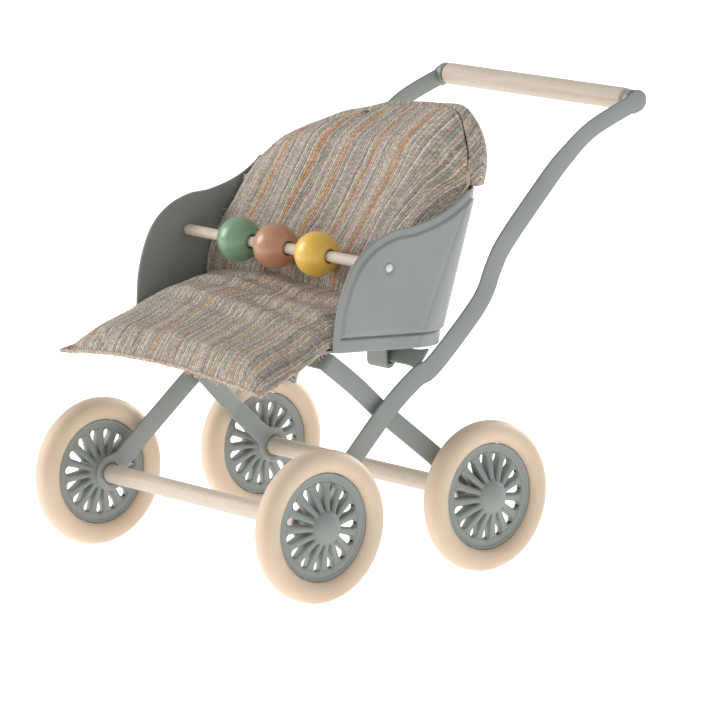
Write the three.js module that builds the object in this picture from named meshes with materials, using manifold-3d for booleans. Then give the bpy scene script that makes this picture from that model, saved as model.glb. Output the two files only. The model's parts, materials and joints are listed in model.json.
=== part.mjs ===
// A doll-house stroller: a painted sheet-metal bucket seat on two crossed pairs of flat strips,
// four spoked wheels with soft tyres, a wooden push grip, and a wooden play bar with three beads.
// Millimetres, +Z up, the child faces -Y and is pushed from +Y. X = 0 is the plane of symmetry.

import * as THREE from 'three';
import { mergeVertices } from 'three/addons/utils/BufferGeometryUtils.js';
import Module from 'manifold-3d';

const wasm = await Module();
wasm.setup();

// ---- driving dimensions ----
const clearance = 0.3;               // air left between pieces that touch
const wheelRadius = 20;
const hubRadius = 14.2;              // where hub disc and tyre meet
const tyreHalfWidth = 3.2;
const wheelbase = 55.7;
const wheelTrack = 95.2;             // between the wheels' middle planes
const slotCount = 15;
const axleWireRadius = 1.0;
const axleDowelRadius = 2.5;

const legWidth = 5.4;
const handleWidth = 5.9;
const stripThickness = 0.8;
const handleSplay = { top: 55.0, foot: 27.5 };    // heights where the splay starts and ends
const legSplay = { top: 45.5, foot: 32.0 };
const stripFace = 39.5;              // outer face of the handle strips above their splay
const gripFace = 40.2;               // outer face of the handle strips at the grip
const hubFace = 42.4;                // outer face of every strip at its axle
const endDiscRadius = 4.5;

const gripRadius = 3.0;
const gripHalfLength = 37.3;
const gripY = 87.9;
const gripHeight = 117.9;
const gripEndRadius = 3.0;
const gripEndY = 89.0;               // the strips end a little behind the grip's own axis
const gripEndHeight = 117.6;

const wallThickness = 1.0;
const seatBottomHalfWidth = 42.3;
const seatBottomZ = 62.8;            // lower front corner of the side walls
const seatFrontY = -18.3;
const seatSplay = 0.05;              // sideways lean of the side walls
const seatTilt = 0.07;               // the seat falls this much towards the back
const backLean = 0.1;
const backFootY = 26.2;              // outer face of the back wall at seatBottomZ
const archRadius = 65;
const archTopZ = 115.4;

const playBarY = -0.75;
const playBarZ = 83.4;
const playBarRadius = 1.5;
const beadRadius = 6;
const beadPlaces = { bead_green: -18.9, bead_brown: -3.4, bead_yellow: 14.1 };

const lengthCentreY = (gripEndY + gripEndRadius - wheelbase / 2 - wheelRadius) / 2;

// ---- finishes ----
const paint = () => new THREE.MeshStandardMaterial({ color: 0x8f9a93, roughness: 0.5, metalness: 0.1 });
const steel = () => new THREE.MeshStandardMaterial({ color: 0xc4c6c6, roughness: 0.3, metalness: 0.9 });
const whitePaint = () => new THREE.MeshStandardMaterial({ color: 0xdde0dc, roughness: 0.4 });
const paleWood = () => new THREE.MeshStandardMaterial({ color: 0xe2cfb6, roughness: 0.7 });
const softTyre = () => new THREE.MeshStandardMaterial({ color: 0xe6cfae, roughness: 0.8 });
const striped = () => new THREE.MeshStandardMaterial({ color: 0xa89c90, roughness: 0.95 });
const lacquer = (colour) => new THREE.MeshStandardMaterial({ color: colour, roughness: 0.35 });

// ---- solids ----
function indexed(geometry) {
  const bare = geometry.clone();
  bare.deleteAttribute('normal');
  bare.deleteAttribute('uv');
  return mergeVertices(bare, 1e-4);
}

function solid(geometry) {
  const merged = indexed(geometry);
  return new wasm.Manifold(new wasm.Mesh({
    numProp: 3,
    vertProperties: new Float32Array(merged.attributes.position.array),
    triVerts: new Uint32Array(merged.index.array),
  }));
}

function geometryOf(manifold) {
  const mesh = manifold.getMesh();
  const geometry = new THREE.BufferGeometry();
  geometry.setAttribute('position', new THREE.BufferAttribute(new Float32Array(mesh.vertProperties), 3));
  geometry.setIndex(new THREE.BufferAttribute(new Uint32Array(mesh.triVerts), 1));
  geometry.computeVertexNormals();
  return geometry;
}

// A closed body through a row of closed rings of equal length; its two ends are flat fans.
function loft(rings) {
  const count = rings[0].length;
  const positions = rings.flat().flatMap((p) => [p.x, p.y, p.z]);
  const faces = [];
  for (let r = 0; r + 1 < rings.length; r += 1) {
    for (let k = 0; k < count; k += 1) {
      const a = r * count + k;
      const b = r * count + ((k + 1) % count);
      faces.push(a, b, b + count, a, b + count, a + count);
    }
  }
  const last = (rings.length - 1) * count;
  for (let k = 1; k + 1 < count; k += 1) {
    faces.push(0, k + 1, k);
    faces.push(last, last + k, last + k + 1);
  }
  const geometry = new THREE.BufferGeometry();
  geometry.setAttribute('position', new THREE.Float32BufferAttribute(positions, 3));
  geometry.setIndex(faces);
  return geometry;
}

const yz = (points) => points.map(([y, z]) => new THREE.Vector2(y, z));

// A Y-Z outline carried along X.
function plateAlongX(points, xLow, xHigh) {
  const geometry = new THREE.ExtrudeGeometry(new THREE.Shape(points), {
    depth: xHigh - xLow, bevelEnabled: false, curveSegments: 8,
  });
  const turn = new THREE.Matrix4().makeBasis(
    new THREE.Vector3(0, 1, 0), new THREE.Vector3(0, 0, 1), new THREE.Vector3(1, 0, 0));
  return geometry.applyMatrix4(turn).translate(xLow, 0, 0);
}

// An X-Z outline carried along Y.
function plateAlongY(points, yLow, yHigh) {
  const geometry = new THREE.ExtrudeGeometry(new THREE.Shape(points), {
    depth: yHigh - yLow, bevelEnabled: false, curveSegments: 8,
  });
  return geometry.rotateX(Math.PI / 2).translate(0, yHigh, 0);
}

function rodAlongX(radius, xLow, xHigh, y, z, sides = 16) {
  const geometry = new THREE.CylinderGeometry(radius, radius, xHigh - xLow, sides);
  return geometry.rotateZ(-Math.PI / 2).translate((xLow + xHigh) / 2, y, z);
}

// A turned body about X: profile pairs are [radius, x], listed from low x to high x.
function turnedAboutX(profile, sides) {
  const points = profile.map(([radius, x]) => new THREE.Vector2(radius, x));
  return new THREE.LatheGeometry(points, sides).rotateZ(-Math.PI / 2);
}

// The other-hand copy: X changes sign, and each triangle is wound the other way.
function mirrored(geometry) {
  const flipped = indexed(geometry).applyMatrix4(new THREE.Matrix4().makeScale(-1, 1, 1));
  const index = flipped.index.array;
  for (let i = 0; i < index.length; i += 3) {
    [index[i], index[i + 1]] = [index[i + 1], index[i]];
  }
  flipped.computeVertexNormals();
  return flipped;
}

// ---- scene graph ----
const stroller = new THREE.Group();
stroller.position.y = -lengthCentreY;

function place(name, geometry, material, parent = stroller) {
  const mesh = new THREE.Mesh(geometry, material);
  mesh.name = name;
  parent.add(mesh);
  return mesh;
}

function placePair(name, geometry, finish) {
  place(`${name}_right`, geometry, finish());
  place(`${name}_left`, mirrored(geometry), finish());
}

// The level of the seat's lower edge, which falls towards the back.
const seatFloorZ = (y) => seatBottomZ - seatTilt * (y - seatFrontY);

// ---- crossed strips ----
// Outer face of a strip: upright near the seat, splayed out between two heights further down, and a
// handle strip leans out once more just under the grip.
function outerFace(face, splay, z) {
  const spread = THREE.MathUtils.clamp((splay.top - z) / (splay.top - splay.foot), 0, 1);
  const flare = THREE.MathUtils.smoothstep(z, 100, 115);
  return face + (hubFace - face) * spread + (gripFace - stripFace) * flare;
}

// A flat strip, seen from the side as a line of changing width.
function strip(route, face, splay, stations, widthAt) {
  const line = new THREE.SplineCurve(yz(route));
  const rings = [];
  for (let i = 0; i <= stations; i += 1) {
    const share = i / stations;
    const centre = line.getPointAt(share);
    const along = line.getTangentAt(share);
    const half = widthAt(centre.y) / 2;
    const outer = outerFace(face, splay, centre.y);
    const corner = (x, side) => new THREE.Vector3(
      x, centre.x - along.y * half * side, centre.y + along.x * half * side);
    rings.push([
      corner(outer - stripThickness, -1), corner(outer - stripThickness, 1),
      corner(outer, 1), corner(outer, -1),
    ]);
  }
  return solid(loft(rings));
}

const endDisc = (radius, face, y, z) => solid(rodAlongX(radius, face - stripThickness, face, y, z, 20));
const axleHole = (y) => solid(rodAlongX(axleWireRadius + clearance, hubFace - 5, hubFace + 5, y, wheelRadius, 12));

// A tab bent inwards from a strip, as a flat bar along X: from and to are its Y-Z edges.
function tab(from, to, xLow, xHigh) {
  const along = new THREE.Vector2(...to).sub(new THREE.Vector2(...from)).normalize();
  const across = new THREE.Vector2(-along.y, along.x).multiplyScalar(stripThickness / 2);
  const [a, b] = yz([from, to]);
  const outline = [a.clone().sub(across), b.clone().sub(across), b.clone().add(across), a.clone().add(across)];
  return solid(plateAlongX(outline, xLow, xHigh));
}

function handleStrip() {
  const axleY = -wheelbase / 2;
  const route = [
    [axleY, wheelRadius], [-13.3, 32.8], [0.8, 45.0], [11.4, 52.3], [17.6, 54.9], [30.1, 65.9],
    [35.4, 71.9], [38.5, 78.2], [42.8, 84.6], [55.6, 97.5], [63.9, 105.2], [73.2, 111.8],
    [gripEndY, gripEndHeight],
  ];
  const widthAt = (z) => handleWidth - 0.9 * THREE.MathUtils.smoothstep(z, 100, 112);
  const inner = stripFace - stripThickness;
  return strip(route, stripFace, handleSplay, 36, widthAt)
    .add(endDisc(endDiscRadius, hubFace, axleY, wheelRadius))
    .add(endDisc(gripEndRadius, gripFace, gripEndY, gripEndHeight))
    .add(tab([13.0, 54.7], [16.2, 58.4], 20, inner + 0.2))
    .subtract(axleHole(axleY))
    .subtract(solid(rodAlongX(axleWireRadius + clearance, inner - 1, gripFace + 1, gripY, gripHeight, 12)));
}

// The space under the seat: a leg strip ends against it.
function underSeat() {
  const gap = 1.5 * clearance;
  const farY = 60;
  return solid(plateAlongX(yz([
    [-60, 0], [farY, 0], [farY, seatFloorZ(farY) - gap], [seatFrontY, seatBottomZ - gap],
    [-22.6, 62.5 - gap], [-25.2, 61.3 - gap], [-27.0, 59.1 - gap], [-60, 50],
  ]), -60, 60));
}

function legStrip() {
  const axleY = wheelbase / 2;
  const face = stripFace - stripThickness - clearance;
  const route = [[axleY, wheelRadius], [14.5, 32.3], [1.4, 44.2], [-7.6, 52.4], [-22.5, 64.2]];
  return strip(route, face, legSplay, 20, () => legWidth)
    .intersect(underSeat())
    .add(endDisc(endDiscRadius, hubFace, axleY, wheelRadius))
    .add(tab([-18.9, 58.9], [-15.3, 55.9], 30, face - stripThickness + 0.2))
    .subtract(axleHole(axleY));
}

placePair('handle_strip', geometryOf(handleStrip()), paint);
placePair('leg_strip', geometryOf(legStrip()), paint);

// ---- axles ----
for (const [name, y] of [['front', -wheelbase / 2], ['rear', wheelbase / 2]]) {
  const halfDowel = hubFace - stripThickness - clearance;
  const bore = axleWireRadius + clearance;
  const dowel = turnedAboutX([
    [bore, -halfDowel], [axleDowelRadius, -halfDowel], [axleDowelRadius, halfDowel], [bore, halfDowel],
    [bore, -halfDowel],
  ], 20);
  place(`${name}_axle_dowel`, dowel.translate(0, y, wheelRadius), paleWood());
  const halfWire = wheelTrack / 2 + 2.3;
  place(`${name}_axle_wire`, rodAlongX(axleWireRadius, -halfWire, halfWire, y, wheelRadius, 12), steel());
}

// ---- wheels: each group turns about its own axle, with +X pointing away from the stroller ----
function tyreGeometry() {
  const flat = 2.0;
  const profile = [[hubRadius, -flat]];
  const steps = 7;
  for (let i = 0; i <= steps; i += 1) {
    const angle = Math.PI * (i / steps);
    const bulge = Math.sin(angle) ** 0.8;
    const radius = hubRadius + 1.4 + (wheelRadius - hubRadius - 1.4) * bulge;
    profile.push([radius, -tyreHalfWidth * Math.cos(angle)]);
  }
  profile.push([hubRadius, flat], [hubRadius, -flat]);
  return turnedAboutX(profile, 28);
}

// A teardrop slot through the disc, round and wide outside, narrow inside.
function slot(angle) {
  const outline = new THREE.Shape();
  outline.moveTo(0, 6.3);
  outline.lineTo(0.95, 10.4);
  outline.absarc(0, 10.6, 0.95, 0, Math.PI, false);
  outline.closePath();
  const points = outline.getPoints(2);
  return solid(plateAlongX(points, -4, 4).rotateX(angle));
}

function hubDiscGeometry() {
  const rim = hubRadius - clearance;
  const bore = axleWireRadius + clearance;
  let disc = solid(turnedAboutX([
    [bore, -3.6], [3.6, -3.6], [4.6, -1.0], [12.5, -1.0], [12.5, -1.6], [rim, -1.6],
    [rim, 1.6], [12.5, 1.6], [12.5, 1.0], [4.6, 1.0], [bore, 1.7], [bore, -3.6],
  ], 30));
  for (let k = 0; k < slotCount; k += 1) {
    disc = disc.subtract(slot((k / slotCount) * 2 * Math.PI));
  }
  return geometryOf(disc);
}

// The domed cap that closes the hub and hides the end of the axle wire.
function hubCapGeometry() {
  const inside = 1.7 + clearance;
  const wireRoom = axleWireRadius + clearance;
  return turnedAboutX([
    [0, 2.3 + clearance], [wireRoom, 2.3 + clearance], [wireRoom, inside], [4.0, inside],
    [3.8, 3.2], [2.4, 4.5], [0, 4.9],
  ], 16);
}

for (const [end, y] of [['front', -wheelbase / 2], ['rear', wheelbase / 2]]) {
  for (const [side, sign] of [['right', 1], ['left', -1]]) {
    const wheel = new THREE.Group();
    wheel.position.set(sign * wheelTrack / 2, y, wheelRadius);
    const handed = (geometry) => (sign > 0 ? geometry : mirrored(geometry));
    place(`tyre_${end}_${side}`, handed(tyreGeometry()), softTyre(), wheel);
    place(`hub_disc_${end}_${side}`, handed(hubDiscGeometry()), paint(), wheel);
    place(`hub_cap_${end}_${side}`, handed(hubCapGeometry()), paint(), wheel);
    stroller.add(wheel);
  }
}

// ---- push grip ----
const gripBore = axleWireRadius + clearance;
const gripWasherRadius = 2.7;
place('push_grip', turnedAboutX([
  [gripBore, -gripHalfLength], [gripRadius - 0.4, -gripHalfLength], [gripRadius, -gripHalfLength + 0.4],
  [gripRadius, gripHalfLength - 0.4], [gripRadius - 0.4, gripHalfLength], [gripBore, gripHalfLength],
  [gripBore, -gripHalfLength],
], 24).translate(0, gripY, gripHeight), paleWood());
place('grip_wire', rodAlongX(axleWireRadius, -gripFace - 0.2, gripFace + 0.2, gripY, gripHeight, 12), steel());
const washer = turnedAboutX([
  [gripBore, gripHalfLength + clearance], [gripWasherRadius, gripHalfLength + clearance],
  [gripWasherRadius, gripFace - stripThickness - clearance], [gripBore, gripFace - stripThickness - clearance],
  [gripBore, gripHalfLength + clearance],
], 20).translate(0, gripY, gripHeight);
placePair('grip_washer', washer, paint);

// ---- bucket seat ----
const seatHalfWidth = (z) => seatBottomHalfWidth + seatSplay * (z - seatBottomZ);
const backOuterY = (z) => backFootY + backLean * (z - seatBottomZ);
const cornerRadius = (z) => THREE.MathUtils.clamp(16.4 - 0.335 * (z - seatBottomZ), 4, 16.4);

// The level outline of the tub at one height, drawn this far inside its outer face.
function tubRing(z, inset, frontY) {
  const x = seatHalfWidth(z) - inset;
  const y = backOuterY(z) - inset;
  const radius = cornerRadius(z) - inset;
  const steps = 8;
  const ring = [new THREE.Vector3(-x, frontY, z)];
  ring.push(new THREE.Vector3(x, frontY, z));
  for (const side of [1, -1]) {
    for (let i = 0; i <= steps; i += 1) {
      const share = side > 0 ? i / steps : 1 - i / steps;
      const angle = share * Math.PI / 2;
      ring.push(new THREE.Vector3(
        side * (x - radius + radius * Math.cos(angle)), y - radius + radius * Math.sin(angle), z));
    }
  }
  return ring;
}

const tub = (inset, frontY, levels) => solid(loft(levels.map((z) => tubRing(z, inset, frontY))));

// The side outline: straight lower edge, curved front edge, and a top edge that climbs to the back.
function sideOutline() {
  const edge = new THREE.SplineCurve(yz([
    [seatFrontY, seatBottomZ], [-16.9, 74], [-12.7, 84.2], [-6.5, 90], [1.1, 92.8], [8.5, 93.4],
    [17.2, 95.6], [24.5, 99.5], [29.5, 104.5],
  ]));
  const rearY = 45;
  return [...edge.getPoints(28), ...yz([[rearY, 120], [rearY, seatFloorZ(rearY)]])];
}

// The back outline: a shallow arch over the full width.
function backOutline(radius, topZ) {
  const halfSpan = 50;
  const points = [new THREE.Vector2(-halfSpan, 40), new THREE.Vector2(halfSpan, 40)];
  const steps = 20;
  for (let i = 0; i <= steps; i += 1) {
    const x = halfSpan * (1 - 2 * (i / steps));
    points.push(new THREE.Vector2(x, topZ - radius + Math.sqrt(radius * radius - x * x)));
  }
  return points;
}

const wallLevels = [54, 62.8, 72, 81, 90, 99.8, 122];
const insideLevels = [53, 62.8, 72, 81, 90, 99.8, 123];
const sideHole = solid(rodAlongX(1.0, -60, 60, playBarY, playBarZ, 10));

function seatShell() {
  return tub(0, -30, wallLevels)
    .subtract(tub(wallThickness, -31, insideLevels))
    .intersect(solid(plateAlongX(sideOutline(), -60, 60)))
    .intersect(solid(plateAlongY(backOutline(archRadius, archTopZ), -40, 50)))
    .subtract(sideHole);
}

// The floor of the tub, with a lip that rolls down over its front edge.
function seatPan() {
  const under = [[-27.9, 56.2], [-27.0, 59.2], [-25.2, 61.4], [-22.6, 62.6], [seatFrontY, seatBottomZ]];
  const over = under.map(([y, z], i) => [y - (i < 3 ? 1.0 : 0.5), z + (i < 3 ? 0.3 : 0.9)]);
  over[4] = [seatFrontY, seatBottomZ + wallThickness];
  const rear = 40;
  const outline = yz([
    ...under, [rear, seatFloorZ(rear)], [rear, seatFloorZ(rear) + wallThickness], ...over.reverse(),
  ]);
  const halfWidth = seatHalfWidth(seatBottomZ) - wallThickness - 2 * clearance;
  return solid(plateAlongX(outline, -halfWidth, halfWidth))
    .intersect(tub(wallThickness + clearance, -40, [53, 60, 70, 80]));
}

place('seat_shell', geometryOf(seatShell()), paint());
place('seat_pan', geometryOf(seatPan()), paint());

// A hook under the pan that holds the tab of the handle strip.
const clip = plateAlongX(yz([
  [11.4, 60.3], [11.4, 53.6], [12.3, 52.8], [13.9, 53.4], [17.5, 57.2], [16.9, 57.8],
  [13.4, 54.1], [12.2, 54.0], [12.2, 60.3],
]), 19.2, 27.3);
placePair('seat_clip', clip, paint);

// ---- play bar and beads ----
const pinRadius = 0.6;
const pinRoom = pinRadius + clearance;
const barHalf = seatHalfWidth(playBarZ) - wallThickness - 2 * clearance;
const pinDepth = 5;
place('play_bar', turnedAboutX([
  [0, -barHalf + pinDepth], [pinRoom, -barHalf + pinDepth], [pinRoom, -barHalf], [playBarRadius, -barHalf],
  [playBarRadius, barHalf], [pinRoom, barHalf], [pinRoom, barHalf - pinDepth], [0, barHalf - pinDepth],
], 16).translate(0, playBarY, playBarZ), paleWood());

const headStart = seatHalfWidth(playBarZ) + clearance;
const pin = turnedAboutX([
  [0, barHalf - pinDepth + clearance], [pinRadius, barHalf - pinDepth + clearance], [pinRadius, headStart],
  [1.15, headStart], [0.9, headStart + 0.5], [0, headStart + 0.7],
], 12).translate(0, playBarY, playBarZ);
placePair('play_bar_pin', pin, whitePaint);

function beadGeometry() {
  const bore = playBarRadius + clearance;
  const mouth = Math.asin(bore / beadRadius);
  const profile = [];
  const steps = 9;
  for (let i = 0; i <= steps; i += 1) {
    const angle = mouth + (Math.PI - 2 * mouth) * (i / steps);
    profile.push([beadRadius * Math.sin(angle), -beadRadius * Math.cos(angle)]);
  }
  profile.push(profile[0]);
  return turnedAboutX(profile, 18);
}

const beadColours = { bead_green: 0x5d8c6c, bead_brown: 0xaf7660, bead_yellow: 0xe0b43c };
for (const [name, x] of Object.entries(beadPlaces)) {
  place(name, beadGeometry().translate(x, playBarY, playBarZ), lacquer(beadColours[name]));
}

// ---- cushions ----
const cushionHalf = 39.6;
const padArchRadius = 50;
const seatCushion = plateAlongX(yz([
  [-41.2, 55.2], [-36, 56.2], [-31, 59.0], [-28.4, 61.6], [-24.4, 64.2], [-17, 64.6], [7, 62.9],
  [8.5, 69.5], [0, 71.4], [-10, 70.6], [-20, 67.6], [-30, 62.6], [-41.2, 57.6],
]), -cushionHalf, cushionHalf);
place('seat_cushion', seatCushion, striped());

// The back pad leans on the inside of the tub; its hood is a pocket over the top of the back wall.
function backPad() {
  const outline = yz([
    [7.5, 72.6], [11.5, 71.0], [20.5, 86], [25.5, 97], [28.6, 108], [29.4, 116.5], [27.5, 120.0],
    [24.5, 119.5], [22.8, 112], [19.6, 101], [13.6, 88],
  ]);
  return solid(plateAlongX(outline, -cushionHalf, cushionHalf))
    .intersect(tub(wallThickness + clearance, -40, insideLevels))
    .intersect(solid(plateAlongY(backOutline(padArchRadius, archTopZ + 1.4), -40, 60)));
}

function hood() {
  const room = 0.4;
  const cloth = 1.4;
  const outline = yz([[29.9, 102], [32.4, 102], [33.6, 112], [33.0, 118], [31.5, 119], [30.0, 119]]);
  const halfWidth = seatHalfWidth(105) + room + cloth;
  const block = solid(plateAlongX(outline, -halfWidth, halfWidth))
    .intersect(solid(plateAlongY(backOutline(archRadius, archTopZ + room + cloth + 1), -40, 60)));
  const hollow = solid(plateAlongY(backOutline(archRadius, archTopZ + room), -40, 60))
    .intersect(tub(-room, -40, [90, 95.9, 108, 124]));
  return block.subtract(hollow);
}

place('back_cushion', geometryOf(backPad()), striped());
place('back_hood', geometryOf(hood()), striped());

export default stroller;
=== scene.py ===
"""Looks of a doll stroller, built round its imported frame.

Shapes are written in millimetres in the stroller's own measures: x across, y from the middle between
the axles (minus is the front), z up from the floor. place() turns them into the frame's metres.
"""

import json
import math
import random

import bmesh
import bpy
import numpy as np
from mathutils import Matrix, Vector, noise
from mathutils.geometry import delaunay_2d_cdt

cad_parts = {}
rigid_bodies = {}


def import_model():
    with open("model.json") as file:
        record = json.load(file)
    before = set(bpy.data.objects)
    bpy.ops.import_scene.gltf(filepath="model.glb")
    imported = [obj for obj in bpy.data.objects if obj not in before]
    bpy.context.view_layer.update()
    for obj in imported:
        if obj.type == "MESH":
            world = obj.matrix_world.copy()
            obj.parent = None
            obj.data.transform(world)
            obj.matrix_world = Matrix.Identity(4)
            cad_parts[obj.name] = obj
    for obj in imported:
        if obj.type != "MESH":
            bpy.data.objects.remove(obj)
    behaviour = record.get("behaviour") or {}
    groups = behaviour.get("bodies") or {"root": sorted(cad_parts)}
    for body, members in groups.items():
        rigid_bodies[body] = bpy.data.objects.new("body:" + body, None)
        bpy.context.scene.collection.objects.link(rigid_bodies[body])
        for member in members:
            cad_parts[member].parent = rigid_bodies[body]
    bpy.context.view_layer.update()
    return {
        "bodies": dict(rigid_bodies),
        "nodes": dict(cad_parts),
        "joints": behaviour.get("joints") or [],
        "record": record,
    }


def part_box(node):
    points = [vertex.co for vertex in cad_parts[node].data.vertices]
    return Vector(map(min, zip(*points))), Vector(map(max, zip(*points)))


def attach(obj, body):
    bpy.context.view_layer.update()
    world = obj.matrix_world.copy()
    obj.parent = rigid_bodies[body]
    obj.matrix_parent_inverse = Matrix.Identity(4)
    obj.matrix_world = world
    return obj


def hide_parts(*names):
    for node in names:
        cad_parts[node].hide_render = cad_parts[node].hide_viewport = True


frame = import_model()

# ---- measures ----
MM = 0.001
AXLE_Y = 27.85
WHEEL_X = 47.6
WHEEL_RADIUS = 20.0
HUB_RADIUS = 14.2
HUB_FACE = 42.4            # outer face of the strips at the axles
STRIP_FACE = 39.5          # outer face of the handle strips above their splay
GRIP_FACE = 40.2
STRIP_THICKNESS = 0.8
HANDLE_HALF_WIDTH = 2.9
LEG_HALF_WIDTH = 2.65
HANDLE_SPLAY = (55.0, 27.5)     # heights where the splay starts and ends
LEG_SPLAY = (45.5, 32.0)
EYE_RADIUS = 4.7
EYE_HOLE = 2.9
EYE_DRILL = (41, 44)       # from and to, in x
GRIP_Y = 87.9
GRIP_Z = 117.9
GRIP_RADIUS = 3.0
GRIP_HALF = 37.3
PLAY_BAR_Y = -0.75
PLAY_BAR_Z = 83.4
BEAD_X = {"green": -18.9, "brown": -3.4, "yellow": 14.1}
BAR_RADIUS = 1.5
WALL = 0.9
SEAT_BOTTOM_Z = 62.8
SEAT_HALF_WIDTH = 42.3     # at the seat's bottom; the sides lean out above it
SIDE_LEAN = 0.05
BACK_FOOT_Y = 26.2         # at the seat's bottom; the back leans back above it
BACK_LEAN = 0.1
CORNER_RADIUS = 16.4       # at the seat's bottom; the rear corners tighten above it
CORNER_TAPER = 0.335
LEAST_CORNER = 4
SEAT_FRONT_Y = -18.3
SEAT_TILT = 0.07


def middle_y():
    """The frame's own y, in millimetres, midway between the axles."""
    centres = [sum(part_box(f"{end}_axle_wire"), Vector()) / 2 for end in ("front", "rear")]
    return (centres[0].y + centres[1].y) / 2 / MM


MIDDLE_Y = middle_y()


def place(points):
    return (np.asarray(points, float) + (0.0, MIDDLE_Y, 0.0)) * MM


def half_width_at(z):
    """Half the width of the seat shell at height z."""
    return SEAT_HALF_WIDTH + SIDE_LEAN * (z - SEAT_BOTTOM_Z)


# ---- node helpers ----
class Nodes:
    """A material's node tree, built a node at a time."""

    def __init__(self, name):
        self.material = bpy.data.materials.new(name)
        self.material.use_nodes = True
        self.tree = self.material.node_tree
        self.shader = self.tree.nodes["Principled BSDF"]

    def add(self, kind, inputs=(), **settings):
        node = self.tree.nodes.new(kind)
        for key, value in settings.items():
            setattr(node, key, value)
        for key, value in dict(inputs).items():
            self.feed(node.inputs[key], value)
        return node

    def feed(self, socket, value):
        if isinstance(value, bpy.types.NodeSocket):
            self.tree.links.new(value, socket)
        else:
            socket.default_value = value

    def math(self, operation, a, b=0.0, c=0.0, clamp=False):
        node = self.add("ShaderNodeMath", {0: a, 1: b, 2: c}, operation=operation, use_clamp=clamp)
        return node.outputs[0]

    def mix(self, share, a, b, blend="MIX"):
        node = self.add("ShaderNodeMix", data_type="RGBA", blend_type=blend)
        self.feed(node.inputs["Factor"], share)
        self.feed(node.inputs["A"], a)
        self.feed(node.inputs["B"], b)
        return node.outputs["Result"]

    def object_position(self):
        return self.add("ShaderNodeTexCoord").outputs["Object"]

    def stretched(self, vector, scale):
        return self.add("ShaderNodeMapping", {"Vector": vector, "Scale": scale}).outputs[0]

    def noise(self, vector, scale, detail=3.0, roughness=0.55):
        node = self.add("ShaderNodeTexNoise", {"Vector": vector, "Scale": scale, "Detail": detail,
                                               "Roughness": roughness})
        return node.outputs["Fac"]

    def ramp_node(self, share, stops, interpolation):
        """A colour ramp; each stop is a place and a colour with alpha."""
        node = self.add("ShaderNodeValToRGB", {"Fac": share})
        ramp = node.color_ramp
        ramp.interpolation = interpolation
        while len(ramp.elements) < len(stops):
            ramp.elements.new(1.0)
        for element, (position, colour) in zip(ramp.elements, stops):
            element.position = position
            element.color = colour
        return node

    def ramp(self, share, stops, interpolation="LINEAR"):
        opaque = [(position, rgba(colour)) for position, colour in stops]
        return self.ramp_node(share, opaque, interpolation).outputs["Color"]

    def masked_ramp(self, share, stops):
        """A stepped ramp whose stops carry alpha: its colour, and the alpha as a mask."""
        node = self.ramp_node(share, stops, "CONSTANT")
        return node.outputs["Color"], node.outputs["Alpha"]

    def bump(self, height, depth_mm, strength):
        inputs = {"Height": height, "Strength": strength, "Distance": depth_mm * MM}
        return self.add("ShaderNodeBump", inputs).outputs[0]

    def finish(self, colour, roughness, normal=None, **constants):
        self.feed(self.shader.inputs["Base Color"], colour)
        self.feed(self.shader.inputs["Roughness"], roughness)
        if normal is not None:
            self.feed(self.shader.inputs["Normal"], normal)
        for key, value in constants.items():
            self.shader.inputs[key.replace("_", " ")].default_value = value
        return self.material


# ---- materials ----
def linear(red, green, blue):
    """A display colour, 0 to 255, as the linear colour that shaders use."""
    values = [v / 255 for v in (red, green, blue)]
    return tuple(v / 12.92 if v <= 0.04045 else ((v + 0.055) / 1.055) ** 2.4 for v in values)


def rgba(colour):
    return (*colour, 1.0)


def frame_paint():
    """Sage-grey sprayed paint: a fine orange peel, and a slow drift in tone and gloss."""
    n = Nodes("frame_paint")
    position = n.object_position()
    drift = n.noise(position, 45.0, 2.0)
    peel = n.noise(position, 1500.0, 2.0)
    speck = n.noise(position, 5200.0, 1.0)
    colour = n.ramp(drift, [(0.3, linear(138, 143, 139)), (0.7, linear(147, 152, 148))])
    colour = n.mix(n.math("MULTIPLY", n.math("GREATER_THAN", speck, 0.72), 0.25), colour,
                   rgba(linear(168, 176, 170)))
    roughness = n.math("MULTIPLY_ADD", drift, 0.12, 0.36)
    height = n.math("MULTIPLY_ADD", speck, 0.2, peel)
    return n.finish(colour, roughness, n.bump(height, 0.05, 0.35))


def steel_wire():
    n = Nodes("steel_wire")
    drawn = n.noise(n.stretched(n.object_position(), (60.0, 4000.0, 4000.0)), 1.0, 2.0)
    colour = n.ramp(drawn, [(0.3, (0.52, 0.52, 0.51)), (0.7, (0.68, 0.68, 0.67))])
    return n.finish(colour, n.math("MULTIPLY_ADD", drawn, 0.2, 0.22), n.bump(drawn, 0.01, 0.5), Metallic=1.0)


def pale_wood():
    """Pale sanded wood with its grain along x."""
    n = Nodes("pale_wood")
    position = n.object_position()
    band = n.noise(n.stretched(position, (18.0, 520.0, 520.0)), 1.0, 3.0, 0.6)
    fibre = n.noise(n.stretched(position, (110.0, 3600.0, 3600.0)), 1.0, 2.0, 0.7)
    pore = n.noise(n.stretched(position, (320.0, 5200.0, 5200.0)), 1.0, 1.0)
    colour = n.ramp(band, [(0.25, linear(205, 192, 177)), (0.5, linear(214, 202, 188)),
                           (0.75, linear(199, 185, 168))])
    colour = n.mix(n.math("MULTIPLY", fibre, 0.35), colour, rgba(linear(186, 164, 142)))
    colour = n.mix(n.math("MULTIPLY", n.math("GREATER_THAN", pore, 0.66), 0.35), colour,
                   rgba(linear(158, 134, 112)))
    height = n.math("MULTIPLY_ADD", pore, -0.5, fibre)
    return n.finish(colour, n.math("MULTIPLY_ADD", fibre, 0.15, 0.52), n.bump(height, 0.04, 0.5))


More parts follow.
